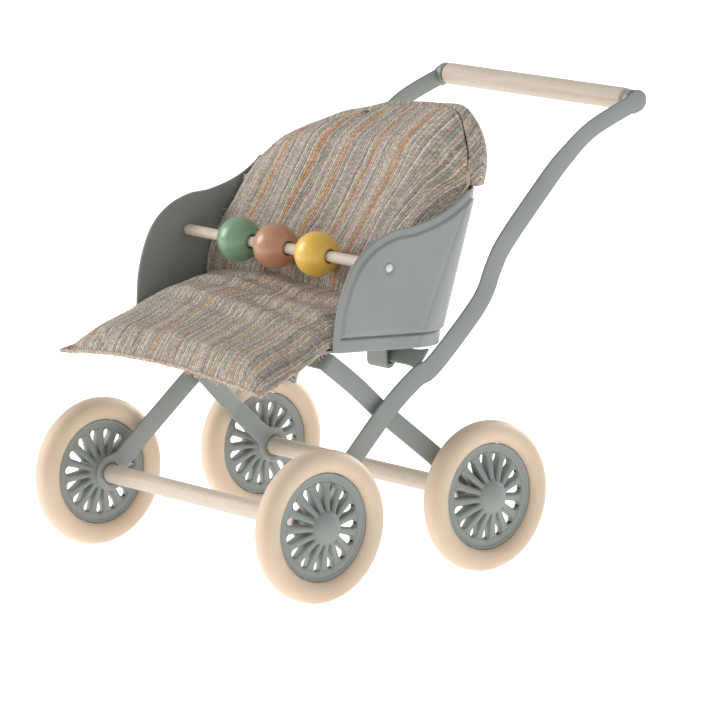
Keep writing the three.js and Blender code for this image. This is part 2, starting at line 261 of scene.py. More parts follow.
def tyre_rubber():
    """Beige moulded rubber, matt, with a faint mould texture."""
    n = Nodes("tyre")
    position = n.object_position()
    cloud = n.noise(position, 90.0, 3.0)
    grain = n.noise(position, 2600.0, 2.0)
    colour = n.ramp(cloud, [(0.3, linear(216, 193, 168)), (0.7, linear(224, 202, 178))])
    return n.finish(colour, n.math("MULTIPLY_ADD", grain, 0.12, 0.5), n.bump(grain, 0.03, 0.25))


def lacquered_bead(name, dark, light):
    """Turned wood under coloured lacquer: faint turning rings and a soft gloss."""
    n = Nodes(name)
    position = n.object_position()
    rings = n.noise(n.stretched(position, (1500.0, 90.0, 90.0)), 1.0, 2.0)
    cloud = n.noise(position, 170.0, 2.0)
    colour = n.ramp(n.math("MULTIPLY_ADD", rings, 0.4, n.math("MULTIPLY", cloud, 0.6)),
                    [(0.35, dark), (0.65, light)])
    return n.finish(colour, n.math("MULTIPLY_ADD", rings, 0.12, 0.3), n.bump(rings, 0.02, 0.3),
                    Coat_Weight=0.5, Coat_Roughness=0.14)


def white_pin():
    n = Nodes("pin_white")
    cloud = n.noise(n.object_position(), 900.0, 2.0)
    colour = n.ramp(cloud, [(0.3, linear(214, 216, 210)), (0.7, linear(232, 233, 228))])
    return n.finish(colour, n.math("MULTIPLY_ADD", cloud, 0.15, 0.3), n.bump(cloud, 0.02, 0.3))


def painted_bore_shade():
    """The inside of a drilled bead: raw wood darkened to a deep brown as painted shade inside the hole."""
    n = Nodes("bore_wood_painted_shade")
    fibre = n.noise(n.stretched(n.object_position(), (200.0, 3000.0, 3000.0)), 1.0, 2.0)
    colour = n.ramp(fibre, [(0.3, linear(92, 70, 52)), (0.7, linear(130, 102, 78))])
    return n.finish(colour, 0.8, n.bump(fibre, 0.03, 0.5))


YARN = 0.78                # distance between warp yarns, mm
WEFT = 0.52
GROUND_YARNS = 30          # warp yarns before the ground's colours come round again
CLOTH_REACH = 42.0         # the accent yarns lie within this distance of the cloth's middle, mm
MUSTARD = linear(206, 164, 92)
ORANGE = linear(208, 118, 72)
TAN = linear(184, 154, 126)
PINK = linear(188, 138, 128)


def ground_stops():
    """The quiet yarns: greige, grey, mint, lilac and beige, each colour up to the next place."""
    greige = [linear(186, 171, 155), linear(168, 154, 140), linear(200, 186, 170)]
    mint, lilac = linear(160, 164, 150), linear(166, 156, 152)
    beige, grey = linear(206, 189, 166), linear(138, 131, 124)
    order = [greige[0], grey, greige[2], mint, greige[1], beige, lilac, greige[0], greige[2], grey]
    order += [mint, greige[1], greige[2], greige[0], beige, lilac, greige[1], grey, greige[0], greige[2]]
    order += [mint, beige, greige[1], greige[0], grey, greige[2], lilac, greige[1], mint, greige[0]]
    return [(i / GROUND_YARNS, colour) for i, colour in enumerate(order)]


def accent_stops(lines):
    """Bright yarns at chosen places across the cloth: each line is (place, [(width, colour), ...])."""
    clear = (*TAN, 0.0)
    stops = [(0.0, clear)]

    def add_stop(x, colour):
        stops.append((max(0.0, (x + CLOTH_REACH) / (2 * CLOTH_REACH)), colour))

    for centre, yarns in lines:
        edge = centre - sum(width for width, _ in yarns) / 2
        for width, colour in yarns:
            add_stop(edge, rgba(colour))
            edge += width
        add_stop(edge, clear)
    return stops


def seat_accents():
    kinds = [[(0.6, MUSTARD)], [(0.5, TAN)], [(0.5, PINK)], [(0.5, MUSTARD), (0.6, ORANGE)],
             [(0.5, MUSTARD), (0.5, PINK)], [(0.6, MUSTARD)], [(0.6, MUSTARD)],
             [(0.6, ORANGE), (0.5, MUSTARD)], [(0.5, TAN)]]
    return [(8.4 * (i - 4), kind) for i, kind in enumerate(kinds)]


def back_accents():
    bright = [(0.5, MUSTARD), (0.7, ORANGE), (0.5, TAN)]
    return [(x, bright) for x in (-31.0, -18.0, -6.5, 3.5, 13.5)] + [(28.0, [(0.6, TAN)])]


def stripe_fabric():
    """Handwoven stripes. The attribute "weave" holds the cloth's own x and y, in millimetres."""
    n = Nodes("stripe_fabric")
    weave = n.add("ShaderNodeAttribute", attribute_name="weave", attribute_type="GEOMETRY").outputs["Vector"]
    slub = n.add("ShaderNodeTexNoise", {"Vector": weave, "Scale": 0.35, "Detail": 3.0})
    wander = n.add("ShaderNodeVectorMath", {0: slub.outputs["Color"], 1: (0.5, 0.5, 0.5)},
                   operation="SUBTRACT")
    wander = n.add("ShaderNodeVectorMath", {0: wander.outputs[0], "Scale": 0.9}, operation="SCALE")
    cloth = n.add("ShaderNodeVectorMath", {0: weave, 1: wander.outputs[0]}, operation="ADD").outputs[0]
    parts = n.add("ShaderNodeSeparateXYZ", {0: cloth})
    across, along = parts.outputs[0], parts.outputs[1]

    warp_place = n.math("DIVIDE", across, YARN)
    weft_place = n.math("DIVIDE", along, WEFT)
    warp_number = n.math("FLOOR", warp_place)
    weft_number = n.math("FLOOR", weft_place)
    share = n.math("FRACT", n.math("DIVIDE", across, YARN * GROUND_YARNS))
    colour = n.ramp(share, ground_stops(), "CONSTANT")
    reach = n.math("MULTIPLY_ADD", across, 0.5 / CLOTH_REACH, 0.5)
    is_back = n.math("GREATER_THAN", parts.outputs[2], 0.5)
    broken = n.noise(n.stretched(weave, (1.2, 0.9, 1.0)), 1.0, 2.0)
    for lines, chosen in ((seat_accents(), n.math("SUBTRACT", 1.0, is_back)), (back_accents(), is_back)):
        bright, mask = n.masked_ramp(reach, accent_stops(lines))
        worn = n.math("MULTIPLY_ADD", broken, 0.9, 0.35, clamp=True)
        shows = n.math("MULTIPLY", n.math("MULTIPLY", mask, chosen), worn)
        colour = n.mix(shows, colour, bright)

    yarn_tone = n.add("ShaderNodeTexWhiteNoise", {"W": warp_number}, noise_dimensions="1D").outputs["Value"]
    cell = n.add("ShaderNodeCombineXYZ", {0: warp_number, 1: weft_number}).outputs[0]
    cell_tone = n.add("ShaderNodeTexWhiteNoise", {"Vector": cell}, noise_dimensions="2D").outputs["Value"]
    warp_wave = n.math("COSINE", n.math("MULTIPLY", warp_place, 2 * math.pi))
    weft_wave = n.math("COSINE", n.math("MULTIPLY", weft_place, 2 * math.pi))
    plain = n.math("MULTIPLY", n.math("COSINE", n.math("MULTIPLY", warp_place, math.pi)),
                   n.math("COSINE", n.math("MULTIPLY", weft_place, math.pi)))

    weft_colour = n.mix(cell_tone, rgba(linear(150, 134, 122)), rgba(linear(196, 184, 172)))
    weft_shows = n.math("MULTIPLY_ADD", plain, 0.45, n.math("MULTIPLY_ADD", warp_wave, 0.2, 0.30), clamp=True)
    colour = n.mix(weft_shows, colour, weft_colour)
    tone = n.math("ADD", n.math("MULTIPLY_ADD", yarn_tone, 0.14, 0.87), n.math("MULTIPLY", cell_tone, 0.36))
    # painted shade: the colour darkens between the warp yarns, where the weave's grooves would fall in shadow
    painted_groove_shade = n.math("MULTIPLY_ADD", warp_wave, -0.16, 0.90)
    tone = n.math("MULTIPLY", tone, painted_groove_shade)
    shade = n.add("ShaderNodeCombineColor", {0: tone, 1: tone, 2: tone}).outputs[0]
    colour = n.mix(1.0, colour, shade, "MULTIPLY")

    fuzz = n.noise(weave, 3.0, 3.0, 0.7)
    height = n.math("MULTIPLY_ADD", warp_wave, -0.35, n.math("MULTIPLY", plain, 0.25))
    height = n.math("ADD", height, n.math("MULTIPLY_ADD", weft_wave, 0.12, n.math("MULTIPLY", fuzz, 0.5)))
    return n.finish(colour, n.math("MULTIPLY_ADD", fuzz, 0.1, 0.85), n.bump(height, 0.26, 1.0),
                    Sheen_Weight=0.12, Sheen_Roughness=0.5)


def loose_thread():
    n = Nodes("loose_thread")
    twist = n.noise(n.object_position(), 6000.0, 2.0)
    colour = n.ramp(twist, [(0.35, linear(190, 168, 146)), (0.65, linear(226, 212, 196))])
    return n.finish(colour, 0.9, n.bump(twist, 0.03, 0.6))


def seam_yarn():
    """The rolled edge of the striped cloth, where every yarn shows end on."""
    n = Nodes("seam_yarn")
    position = n.object_position()
    yarns = n.noise(n.stretched(position, (1400.0, 1400.0, 1400.0)), 1.0, 2.0)
    colour = n.ramp(yarns, [(0.3, linear(142, 124, 108)), (0.5, linear(190, 172, 154)),
                            (0.7, linear(214, 198, 180))])
    return n.finish(colour, 0.9, n.bump(yarns, 0.15, 1.0))


PAINT = frame_paint()
STEEL = steel_wire()
WOOD = pale_wood()
TYRE = tyre_rubber()
CLOTH = stripe_fabric()
THREAD = loose_thread()
CLOTH_SEAM = seam_yarn()
PIN = white_pin()
BORE_SHADE = painted_bore_shade()
BEADS = {
    "green": lacquered_bead("bead_green", linear(114, 152, 118), linear(130, 166, 132)),
    "brown": lacquered_bead("bead_brown", linear(184, 130, 100), linear(198, 144, 112)),
    "yellow": lacquered_bead("bead_yellow", linear(234, 186, 72), linear(244, 197, 86)),
}


# ---- mesh helpers ----
def piece(name, points, faces, material, body, replaces=(), weave=None):
    """A mesh piece made in stroller millimetres, riding on a CAD body. Cloth has a weave."""
    mesh = bpy.data.meshes.new(name)
    mesh.from_pydata(place(points).tolist(), [], faces)
    if weave is not None:
        attribute = mesh.attributes.new("weave", "FLOAT_VECTOR", "POINT")
        attribute.data.foreach_set("vector", np.asarray(weave, np.float32).ravel())
    work = bmesh.new()
    work.from_mesh(mesh)
    bmesh.ops.remove_doubles(work, verts=work.verts, dist=1e-6)
    if weave is None:
        bmesh.ops.dissolve_degenerate(work, dist=1e-7, edges=work.edges)
    bmesh.ops.recalc_face_normals(work, faces=work.faces)
    work.to_mesh(mesh)
    work.free()
    for polygon in mesh.polygons:
        polygon.use_smooth = True
    mesh.materials.append(material)
    obj = bpy.data.objects.new(name, mesh)
    bpy.context.scene.collection.objects.link(obj)
    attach(obj, body)
    if replaces:
        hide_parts(*replaces)
    return obj


def rounded(obj, width, segments=3, angle=35.0):
    """Rounds the sharp edges of a piece."""
    bevel = obj.modifiers.new("rounded", "BEVEL")
    bevel.width = width * MM
    bevel.segments = segments
    bevel.limit_method = "ANGLE"
    bevel.angle_limit = math.radians(angle)
    bevel.harden_normals = True
    bevel.use_clamp_overlap = True


def grid_faces(rows, columns, closed_rows=False, closed_columns=False, start=0):
    """Quads over a grid of points, listed row by row."""
    faces = []
    for j in range(rows if closed_rows else rows - 1):
        for i in range(columns if closed_columns else columns - 1):
            a = start + j * columns + i
            b = start + j * columns + (i + 1) % columns
            c = start + ((j + 1) % rows) * columns + (i + 1) % columns
            d = start + ((j + 1) % rows) * columns + i
            faces.append((a, b, c, d))
    return faces


def lathe(profile, centre, segments=64, closed=False):
    """Points and faces of a body turned about X: profile pairs are (radius, x)."""
    x0, y0, z0 = centre
    points = []
    for radius, x in profile:
        for k in range(segments):
            angle = 2 * math.pi * k / segments
            points.append((x0 + x, y0 + radius * math.cos(angle), z0 + radius * math.sin(angle)))
    return points, grid_faces(len(profile), segments, closed_rows=closed, closed_columns=True)


def through(points, count):
    """A smooth line (or a smooth row of lines) through control points."""
    p = np.asarray(points, float)
    spans = len(p) - 1
    places = np.linspace(0, spans, count)
    index = np.minimum(places.astype(int), spans - 1)
    t = (places - index).reshape((-1,) + (1,) * (p.ndim - 1))
    before = p[np.maximum(index - 1, 0)]
    a = p[index]
    b = p[index + 1]
    after = p[np.minimum(index + 2, spans)]
    slope_a = (b - before) / 2
    slope_b = (after - a) / 2
    return ((2 * t ** 3 - 3 * t ** 2 + 1) * a + (t ** 3 - 2 * t ** 2 + t) * slope_a
            + (3 * t ** 2 - 2 * t ** 3) * b + (t ** 3 - t ** 2) * slope_b)


def distances(line):
    """How far along a line each of its points lies."""
    return np.concatenate([[0], np.cumsum(np.linalg.norm(np.diff(line, axis=0), axis=1))])


def sampled(line, length, places):
    """The points that lie at the given distances along a line."""
    return np.column_stack([np.interp(places, length, line[:, k]) for k in range(line.shape[1])])


def evenly(points, count):
    """A smooth line with its points at even distances, and those distances."""
    fine = through(points, 1200)
    length = distances(fine)
    targets = np.linspace(0, length[-1], count)
    return sampled(fine, length, targets), targets


def unit(vectors):
    return vectors / np.linalg.norm(vectors, axis=-1, keepdims=True)


def ribbon(centres, widths, sides, thickness):
    """A flat bar with rounded edges, lying under its centre line; sides are unit vectors across it."""
    centres = np.asarray(centres, float)
    along = unit(np.gradient(centres, axis=0))
    normals = unit(np.cross(along, sides))
    points = []
    for centre, half, side, normal in zip(centres, widths, sides, normals):
        edge = min(0.3, half * 0.6)
        outline = []
        for cx, cz, turn in ((half - edge, -edge, 0), (-(half - edge), -edge, 1),
                             (-(half - edge), -(thickness - edge), 2), (half - edge, -(thickness - edge), 3)):
            for step in range(4):
                angle = math.pi / 2 * (turn + step / 3)
                outline.append((cx + edge * math.cos(angle), cz + edge * math.sin(angle)))
        points += [centre + side * a + normal * b for a, b in outline]
    around = 16
    faces = grid_faces(len(centres), around, closed_columns=True)
    faces.append(tuple(range(around)))
    faces.append(tuple(range((len(centres) - 1) * around, len(centres) * around)))
    return points, faces


def cut(obj, cutter_points, cutter_faces):
    """Cuts a hole and applies it to the mesh."""
    mesh = bpy.data.meshes.new("cutter")
    mesh.from_pydata(place(cutter_points).tolist(), [], cutter_faces)
    work = bmesh.new()
    work.from_mesh(mesh)
    bmesh.ops.recalc_face_normals(work, faces=work.faces)
    work.to_mesh(mesh)
    work.free()
    cutter = bpy.data.objects.new("cutter", mesh)
    bpy.context.scene.collection.objects.link(cutter)
    modifier = obj.modifiers.new("hole", "BOOLEAN")
    modifier.operation = "DIFFERENCE"
    modifier.solver = "EXACT"
    modifier.object = cutter
    apply_modifiers(obj)
    bpy.data.objects.remove(cutter)


def apply_modifiers(obj):
    bpy.context.view_layer.update()
    evaluated = obj.evaluated_get(bpy.context.evaluated_depsgraph_get())
    mesh = bpy.data.meshes.new_from_object(evaluated)
    obj.modifiers.clear()
    obj.data = mesh


def rod(radius, x_low, x_high, y, z):
    segments = 32
    points, faces = lathe([(radius, x_low), (radius, x_high)], (0, y, z), segments)
    faces.append(tuple(range(segments)))
    faces.append(tuple(range(segments, 2 * segments)))
    return points, faces


def mirrored(points, side):
    return [(p[0] * side, p[1], p[2]) for p in points]


SIDES = (("right", 1), ("left", -1))
ENDS = (("front", -1), ("rear", 1))


# ---- strips ----
def smooth_step(value, low, high):
    t = np.clip((value - low) / (high - low), 0, 1)
    return t * t * (3 - 2 * t)


def strip_route(route, face, splay):
    """The centre line of a strip's outer face, with its splay at the foot and its flare at the grip."""
    line = evenly(route, 150)[0]
    z = line[:, 1]
    spread = np.clip((splay[0] - z) / (splay[0] - splay[1]), 0, 1)
    x = face + (HUB_FACE - face) * spread + (GRIP_FACE - STRIP_FACE) * smooth_step(z, 100, 115)
    return np.column_stack([x, line])


def with_round_end(centres, widths, radius, at_start):
    """Carries a strip past its end and swells it into a round eye."""
    if not at_start:
        centres, widths = centres[::-1], widths[::-1]
    direction = unit(centres[0] - centres[1])
    length = distances(centres)
    inside = np.sqrt(np.maximum(radius ** 2 - length ** 2, 0))
    blend = np.maximum(widths, inside)
    soft = 0.6 * np.exp(-((length - radius * 0.95) / (0.45 * radius)) ** 2)
    widths = blend + soft * (np.minimum(widths, inside) > 0)
    angles = np.linspace(0, math.pi / 2, 14)[1:]
    angles[-1] = math.pi / 2 - 0.03
    tail = np.array([centres[0] + direction * radius * math.sin(a) for a in angles])
    tail_widths = np.array([radius * math.cos(a) for a in angles])
    centres = np.concatenate([tail[::-1], centres])
    widths = np.concatenate([tail_widths[::-1], widths])
    if not at_start:
        centres, widths = centres[::-1], widths[::-1]
    return centres, widths


def across_in_side_view(centres):
    """Unit vectors across a strip, kept square to X."""
    along = np.gradient(np.asarray(centres), axis=0)
    along[:, 0] = 0
    along = unit(along)
    return np.column_stack([np.zeros(len(along)), -along[:, 2], along[:, 1]])


def strip_pair(kind, centres, widths, sides, axle_y):
    """The right and left strips of one kind, each with its eye drilled for the axle."""
    points, faces = ribbon(centres, widths, sides, STRIP_THICKNESS)
    for side, sign in SIDES:
        obj = piece(f"{kind}_strip_{side}_look", mirrored(points, sign), faces, PAINT, "frame",
                    [f"{kind}_strip_{side}"])
        cut(obj, *rod(EYE_HOLE, *sorted(sign * x for x in EYE_DRILL), axle_y, WHEEL_RADIUS))


def handle_strips():
    route = [(-AXLE_Y, WHEEL_RADIUS), (-13.3, 32.8), (0.8, 45.0), (11.4, 52.3), (17.6, 54.9), (30.1, 65.9),
             (35.4, 71.9), (38.5, 78.2), (42.8, 84.6), (55.6, 97.5), (63.9, 105.2), (73.2, 111.8),
             (89.0, 117.6)]
    centres = strip_route(route, STRIP_FACE, HANDLE_SPLAY)
    widths = HANDLE_HALF_WIDTH - 0.45 * smooth_step(centres[:, 2], 100, 112)
    centres, widths = with_round_end(centres, widths, EYE_RADIUS, True)
    centres, widths = with_round_end(centres, widths, 3.0, False)
    strip_pair("handle", centres, widths, across_in_side_view(centres), -AXLE_Y)


def tab(name, corners, x_low, x_high, sign):
    """A flat tab bent inwards from a strip: corners are the Y-Z ends of its section."""
    (y0, z0), (y1, z1) = corners
    width = math.hypot(y1 - y0, z1 - z0)
    side = np.array([0.0, (y1 - y0) / width, (z1 - z0) / width])
    middle = ((y0 + y1) / 2, (z0 + z1) / 2)
    steps = 24
    route = [(x, *middle) for x in np.linspace(x_high, x_low, steps)]
    reach = np.linspace(0, 1, steps)
    widths = width / 2 * (1 + 0.35 * (1 - np.clip(reach / 0.25, 0, 1)) ** 2)
    widths[-3:] *= (0.97, 0.88, 0.7)
    points, faces = ribbon(route, widths, np.tile(side, (steps, 1)), STRIP_THICKNESS)
    piece(name, mirrored(points, sign), faces, PAINT, "frame")


def leg_strips():
    face = STRIP_FACE - STRIP_THICKNESS - 0.3
    route = [(AXLE_Y, WHEEL_RADIUS), (14.5, 32.3), (1.4, 44.2), (-7.6, 52.4), (-16.2, 59.3)]
    centres = strip_route(route, face, LEG_SPLAY)
    widths = np.full(len(centres), LEG_HALF_WIDTH)
    centres, widths = with_round_end(centres, widths, EYE_RADIUS, True)
    # the top end turns inwards under the seat
    last = centres[-1]
    direction = unit(centres[-1] - centres[-2])
    radius = 1.6
    bend = [last + direction * (radius * math.sin(a)) + np.array([-radius * (1 - math.cos(a)), 0, 0])
            for a in np.linspace(0, math.pi / 2, 12)[1:]]
    flat = [bend[-1] + np.array([-d, 0, 0]) for d in (1.0, 2.5, 4.5, 6.0)]
    turned = np.array(bend + flat)
    centres = np.concatenate([centres, turned])
    taper = np.linspace(1.0, 0.86, len(turned))
    widths = np.concatenate([widths, LEG_HALF_WIDTH * taper])
    sides = across_in_side_view(centres[:-len(turned)])
    sides = np.concatenate([sides, np.tile(sides[-1], (len(turned), 1))])
    strip_pair("leg", centres, widths, sides, AXLE_Y)


def seat_clips():
    """Hooks under the seat, and the tabs that lie in them."""
    outline = [(11.4, 60.3), (11.4, 54.2), (12.1, 53.0), (13.6, 53.2), (17.5, 57.2), (16.9, 57.8),
               (13.4, 54.3), (12.2, 54.4), (12.2, 60.3)]
    for side, sign in SIDES:
        points = [(sign * x, y, z) for x in (19.2, 27.3) for y, z in outline]
        count = len(outline)
        faces = [tuple(range(count)), tuple(range(count, 2 * count))]
        faces += [(i, (i + 1) % count, count + (i + 1) % count, count + i) for i in range(count)]
        rounded(piece(f"seat_clip_{side}_look", points, faces, PAINT, "frame",
                      [f"seat_clip_{side}"]), 0.25)
        tab(f"handle_tab_{side}", ((13.0, 54.7), (16.2, 58.4)), 20.0, 38.6, sign)


handle_strips()
leg_strips()
seat_clips()


# ---- wood and wire ----
def turned_piece(name, profile, centre, material, body, replaces, segments, closed=False):
    points, faces = lathe(profile, centre, segments, closed)
    return piece(name, points, faces, material, body, replaces)


def axles():
    half, radius = HUB_FACE - 0.1, 2.5
    profile = [(0, -half), (radius, -half), (radius, half), (0, half)]
    for end, sign in ENDS:
        centre = (0, sign * AXLE_Y, WHEEL_RADIUS)
        dowel = turned_piece(f"{end}_axle_dowel_look", profile, centre, WOOD, "frame",
                             [f"{end}_axle_dowel"], 64)
        rounded(dowel, 0.3)


def push_grip():
    half = GRIP_HALF
    centre = (0, GRIP_Y, GRIP_Z)
    bore, wire_radius, washer_radius = 0.9, 0.85, 2.7
    profile = [(bore, -half), (GRIP_RADIUS - 0.7, -half), (GRIP_RADIUS, -half + 0.8),
               (GRIP_RADIUS, half - 0.8), (GRIP_RADIUS - 0.7, half), (bore, half)]
    grip = turned_piece("push_grip_look", profile, centre, WOOD, "grip", ["push_grip"], 72, True)
    rounded(grip, 0.5, 4, 20)
    reach = GRIP_FACE - STRIP_THICKNESS / 2
    wire = [(0, -reach), (0.6, -reach), (wire_radius, -reach + 0.25), (wire_radius, reach - 0.25),
            (0.6, reach), (0, reach)]
    turned_piece("grip_wire_look", wire, centre, STEEL, "frame", ["grip_wire"], 32)
    for side, sign in SIDES:
        inner, outer = GRIP_HALF + 0.3, GRIP_FACE - STRIP_THICKNESS
        washer = [(bore, sign * inner), (washer_radius, sign * inner), (washer_radius, sign * outer),
                  (bore, sign * outer)]
        ring = turned_piece(f"grip_washer_{side}_look", washer, centre, PAINT, "frame",
                            [f"grip_washer_{side}"], 48, True)
        rounded(ring, 0.2)


def play_bar():
    wall = half_width_at(PLAY_BAR_Z)
    half = wall - WALL - 0.5
    centre = (0, PLAY_BAR_Y, PLAY_BAR_Z)
    chamfer = 0.9
    profile = [(0, -half), (0.9, -half), (BAR_RADIUS, -half + chamfer), (BAR_RADIUS, half - chamfer),
               (0.9, half), (0, half)]
    bar = turned_piece("play_bar_look", profile, centre, WOOD, "play_bar", ["play_bar"], 48)
    rounded(bar, 0.4, 3, 20)
    pin = [(0, wall - 2.0), (0.6, wall - 2.0), (0.6, wall + 0.25), (1.1, wall + 0.3), (1.1, wall + 0.5),
           (0.85, wall + 0.85), (0.5, wall + 1.0), (0, wall + 1.05)]
    points, faces = lathe(pin, centre, 32)
    for side, sign in SIDES:
        piece(f"play_bar_pin_{side}_look", mirrored(points, sign), faces, PIN, "play_bar",
              [f"play_bar_pin_{side}"])


def beads():
    radius, bore = 6.0, 1.8
    mouth = math.asin(bore / radius)
    arc = [math.pi * k / 40 for k in range(41)]
    arc = [a for a in arc if mouth + 0.09 < a < math.pi - mouth - 0.09]
    end = radius * math.cos(mouth)
    profile = [(bore, -end + 0.45), (bore + 0.12, -end + 0.12), (bore + 0.42, -end + 0.02)]
    profile += [(radius * math.sin(a), -radius * math.cos(a)) for a in arc]
    profile += [(bore + 0.42, end - 0.02), (bore + 0.12, end - 0.12), (bore, end - 0.45)]
    for name, x in BEAD_X.items():
        bead = f"bead_{name}"
        obj = turned_piece(f"{bead}_look", profile, (x, PLAY_BAR_Y, PLAY_BAR_Z), BEADS[name], bead,
                           [bead], 64, True)
        # the bore's walls get the dark brown material: painted shade inside the hole
        obj.data.materials.append(BORE_SHADE)
        for polygon in obj.data.polygons:
            centre = polygon.center / MM - Vector((x, PLAY_BAR_Y + MIDDLE_Y, PLAY_BAR_Z))
            if math.hypot(centre.y, centre.z) < bore + 0.03:
                polygon.material_index = 1


axles()
push_grip()
play_bar()
beads()
for end, _ in ENDS:
    frame["nodes"][f"{end}_axle_wire"].data.materials[0] = STEEL


# ---- wheels ----
SLOTS = 15
SLOT_IN = 4.5
SLOT_WIDE = 10.4
SLOT_HALF = 1.12
SLOT_OUT = SLOT_WIDE + SLOT_HALF
SLOT_PHASE = {"front_right": -3.6, "front_left": 4.0, "rear_right": 2.0, "rear_left": 0.0}


def slot_half_width(radius):
    if radius <= SLOT_IN or radius >= SLOT_OUT:
        return 0.0
    if radius < SLOT_WIDE:
        return 0.24 + (SLOT_HALF - 0.24) * (radius - SLOT_IN) / (SLOT_WIDE - SLOT_IN)
    return math.sqrt(SLOT_HALF ** 2 - (radius - SLOT_WIDE) ** 2)


def disc_height(radius, outside):
    """How far the disc's face stands out from the wheel's middle plane."""
    ring, hub = 1.05, (3.2 if outside else 2.5)
    rise = ring + (hub - ring) * min(1.0, max(0.0, (12.2 - radius) / 8.0)) ** 1.5
    lip = 0.35 * smooth_step(radius, 13.2, 13.7)
    boss = 0.0 if outside else 1.1 * (1 - smooth_step(radius, 3.5, 4.3))
    return rise + lip + boss


def disc_point(radius, angle, outside):
    """A point of the disc's face, rounded off towards the slots' edges."""
    height = disc_height(radius, outside)
    if SLOT_IN - 0.4 < radius:
        if radius < SLOT_WIDE:
            gap = radius * abs(angle) - slot_half_width(radius)
        else:
            gap = math.hypot(radius - SLOT_WIDE, radius * angle) - SLOT_HALF
        near = min(1.0, max(0.0, gap) / 0.75)
        height -= 0.55 * (1 - math.sqrt(max(0.0, 1 - (1 - near) ** 2)))
    return height


def hub_disc_mesh():
    """One fifteenth at a time: ribs between tear-shaped slots, from a flat ring in to the boss."""
    rows = [1.2, 3.4, 3.7, 4.0, 4.3, SLOT_IN, 4.65, 5.0, 5.6, 6.3, 7.0, 7.8, 8.6, 9.4, 10.0, SLOT_WIDE,
            10.75, 11.05, 11.3, 11.48, 11.6, SLOT_OUT, 11.9, 12.3, 12.9, 13.2, 13.45, 13.7, HUB_RADIUS - 0.1]
    shares = (0.0, 0.12, 0.3, 0.62, 1.0)
    half_sector = math.pi / SLOTS
    columns = 2 * len(shares) * SLOTS
    rings = {True: [], False: []}
    for radius in rows:
        half = slot_half_width(radius)
        edge = half / radius
        if radius <= SLOT_IN:
            edge = 0.24 / SLOT_IN * (radius < SLOT_IN)
        if radius >= SLOT_OUT:
            edge = 0.045 * (radius - SLOT_OUT)
        for outside in (True, False):
            ring = []
            for k in range(SLOTS):
                centre = 2 * math.pi * k / SLOTS
                local = [-(half_sector + (edge - half_sector) * (1 - s)) for s in reversed(shares)]
                local += [half_sector + (edge - half_sector) * (1 - s) for s in shares]
                for angle in local:
                    x = disc_point(radius, angle, outside) * (1 if outside else -1)
                    turn = centre + angle
                    ring.append((x, radius * math.cos(turn), radius * math.sin(turn)))
            rings[outside].append(ring)
    points = [p for outside in (True, False) for ring in rings[outside] for p in ring]
    count = len(rows)
    faces = []
    per_slot = 2 * len(shares)
    gap_column = len(shares) - 1

    def at(outside, row, column):
        return (0 if outside else count * columns) + row * columns + column % columns

    def open_between(row, column):
        return column % per_slot == gap_column and SLOT_IN <= rows[row] and rows[row + 1] <= SLOT_OUT

    for row in range(count - 1):
        for column in range(columns):
            if open_between(row, column):
                for side in (column, column + 1):
                    faces.append((at(True, row, side), at(True, row + 1, side), at(False, row + 1, side),
                                  at(False, row, side)))
                continue
            for outside in (True, False):
                faces.append((at(outside, row, column), at(outside, row, column + 1),
                              at(outside, row + 1, column + 1), at(outside, row + 1, column)))
    for column in range(columns):
        for row in (0, count - 1):
            faces.append((at(True, row, column), at(True, row, column + 1), at(False, row, column + 1),
                          at(False, row, column)))
    return points, faces


def tyre_profile():
    """The tyre's section: a soft oval that lies on the hub's ring."""
    middle, across, half_width, seat = 16.95, 3.05, 3.2, 1.45
    profile = []
    for k in range(48):
        angle = 2 * math.pi * k / 48
        radius = middle - across * math.copysign(abs(math.cos(angle)) ** 0.92, math.cos(angle))
        x = half_width * math.copysign(abs(math.sin(angle)) ** 0.86, math.sin(angle))
        if radius < HUB_RADIUS and abs(x) < seat:
            radius = HUB_RADIUS
        profile.append((max(radius, HUB_RADIUS), x))
    return profile


def turned_round_x(points, angle):
    c, s = math.cos(angle), math.sin(angle)
    return [(x, y * c - z * s, y * s + z * c) for x, y, z in points]


def wheels():
    disc_points, disc_faces = hub_disc_mesh()
    tyre = tyre_profile()
    cap = [(0.0, 2.5), (4.5, 2.5), (4.5, 2.9), (4.3, 3.35), (3.85, 3.8), (3.2, 4.2), (2.3, 4.55), (1.2, 4.8),
           (0.5, 4.88), (0.0, 4.9)]
    cap_points, cap_faces = lathe(cap, (0, 0, 0), 48)
    for end, end_sign in ENDS:
        for side, sign in SIDES:
            centre = np.array([sign * WHEEL_X, end_sign * AXLE_Y, WHEEL_RADIUS])
            body = f"wheel_{end}_{side}"
            turn = math.radians(SLOT_PHASE[f"{end}_{side}"])
            local = np.array(turned_round_x(disc_points, turn)) * (sign, 1, 1)
            piece(f"hub_disc_{end}_{side}_look", local + centre, disc_faces, PAINT, body,
                  [f"hub_disc_{end}_{side}"])
            domed = np.array(cap_points) * (sign, 1, 1)
            piece(f"hub_cap_{end}_{side}_look", domed + centre, cap_faces, PAINT, body,
                  [f"hub_cap_{end}_{side}"])
            turned_piece(f"tyre_{end}_{side}_look", tyre, tuple(centre), TYRE, body,
                         [f"tyre_{end}_{side}"], 96, True)


wheels()


# ---- bucket seat ----
SIDE_RIM = [(-18.3, 62.8), (-16.9, 74), (-12.7, 84.2), (-6.5, 90), (1.1, 92.8), (8.5, 93.4), (17.2, 95.6),
            (24.5, 99.5), (29.5, 104.5)]
ARCH_RADIUS = 65.0
ARCH_TOP = 115.4
FOOT_RADIUS = 1.6
BAND = 2.3                 # plain band along the rim, round the raised field
SLIT_HEIGHT = 3.85         # above the lower edge
FIELD_RISE = 0.6


def back_y_at(z):
    return BACK_FOOT_Y + BACK_LEAN * (z - SEAT_BOTTOM_Z)


def corner_at(z):
    return np.clip(CORNER_RADIUS - CORNER_TAPER * (z - SEAT_BOTTOM_Z), LEAST_CORNER, CORNER_RADIUS)


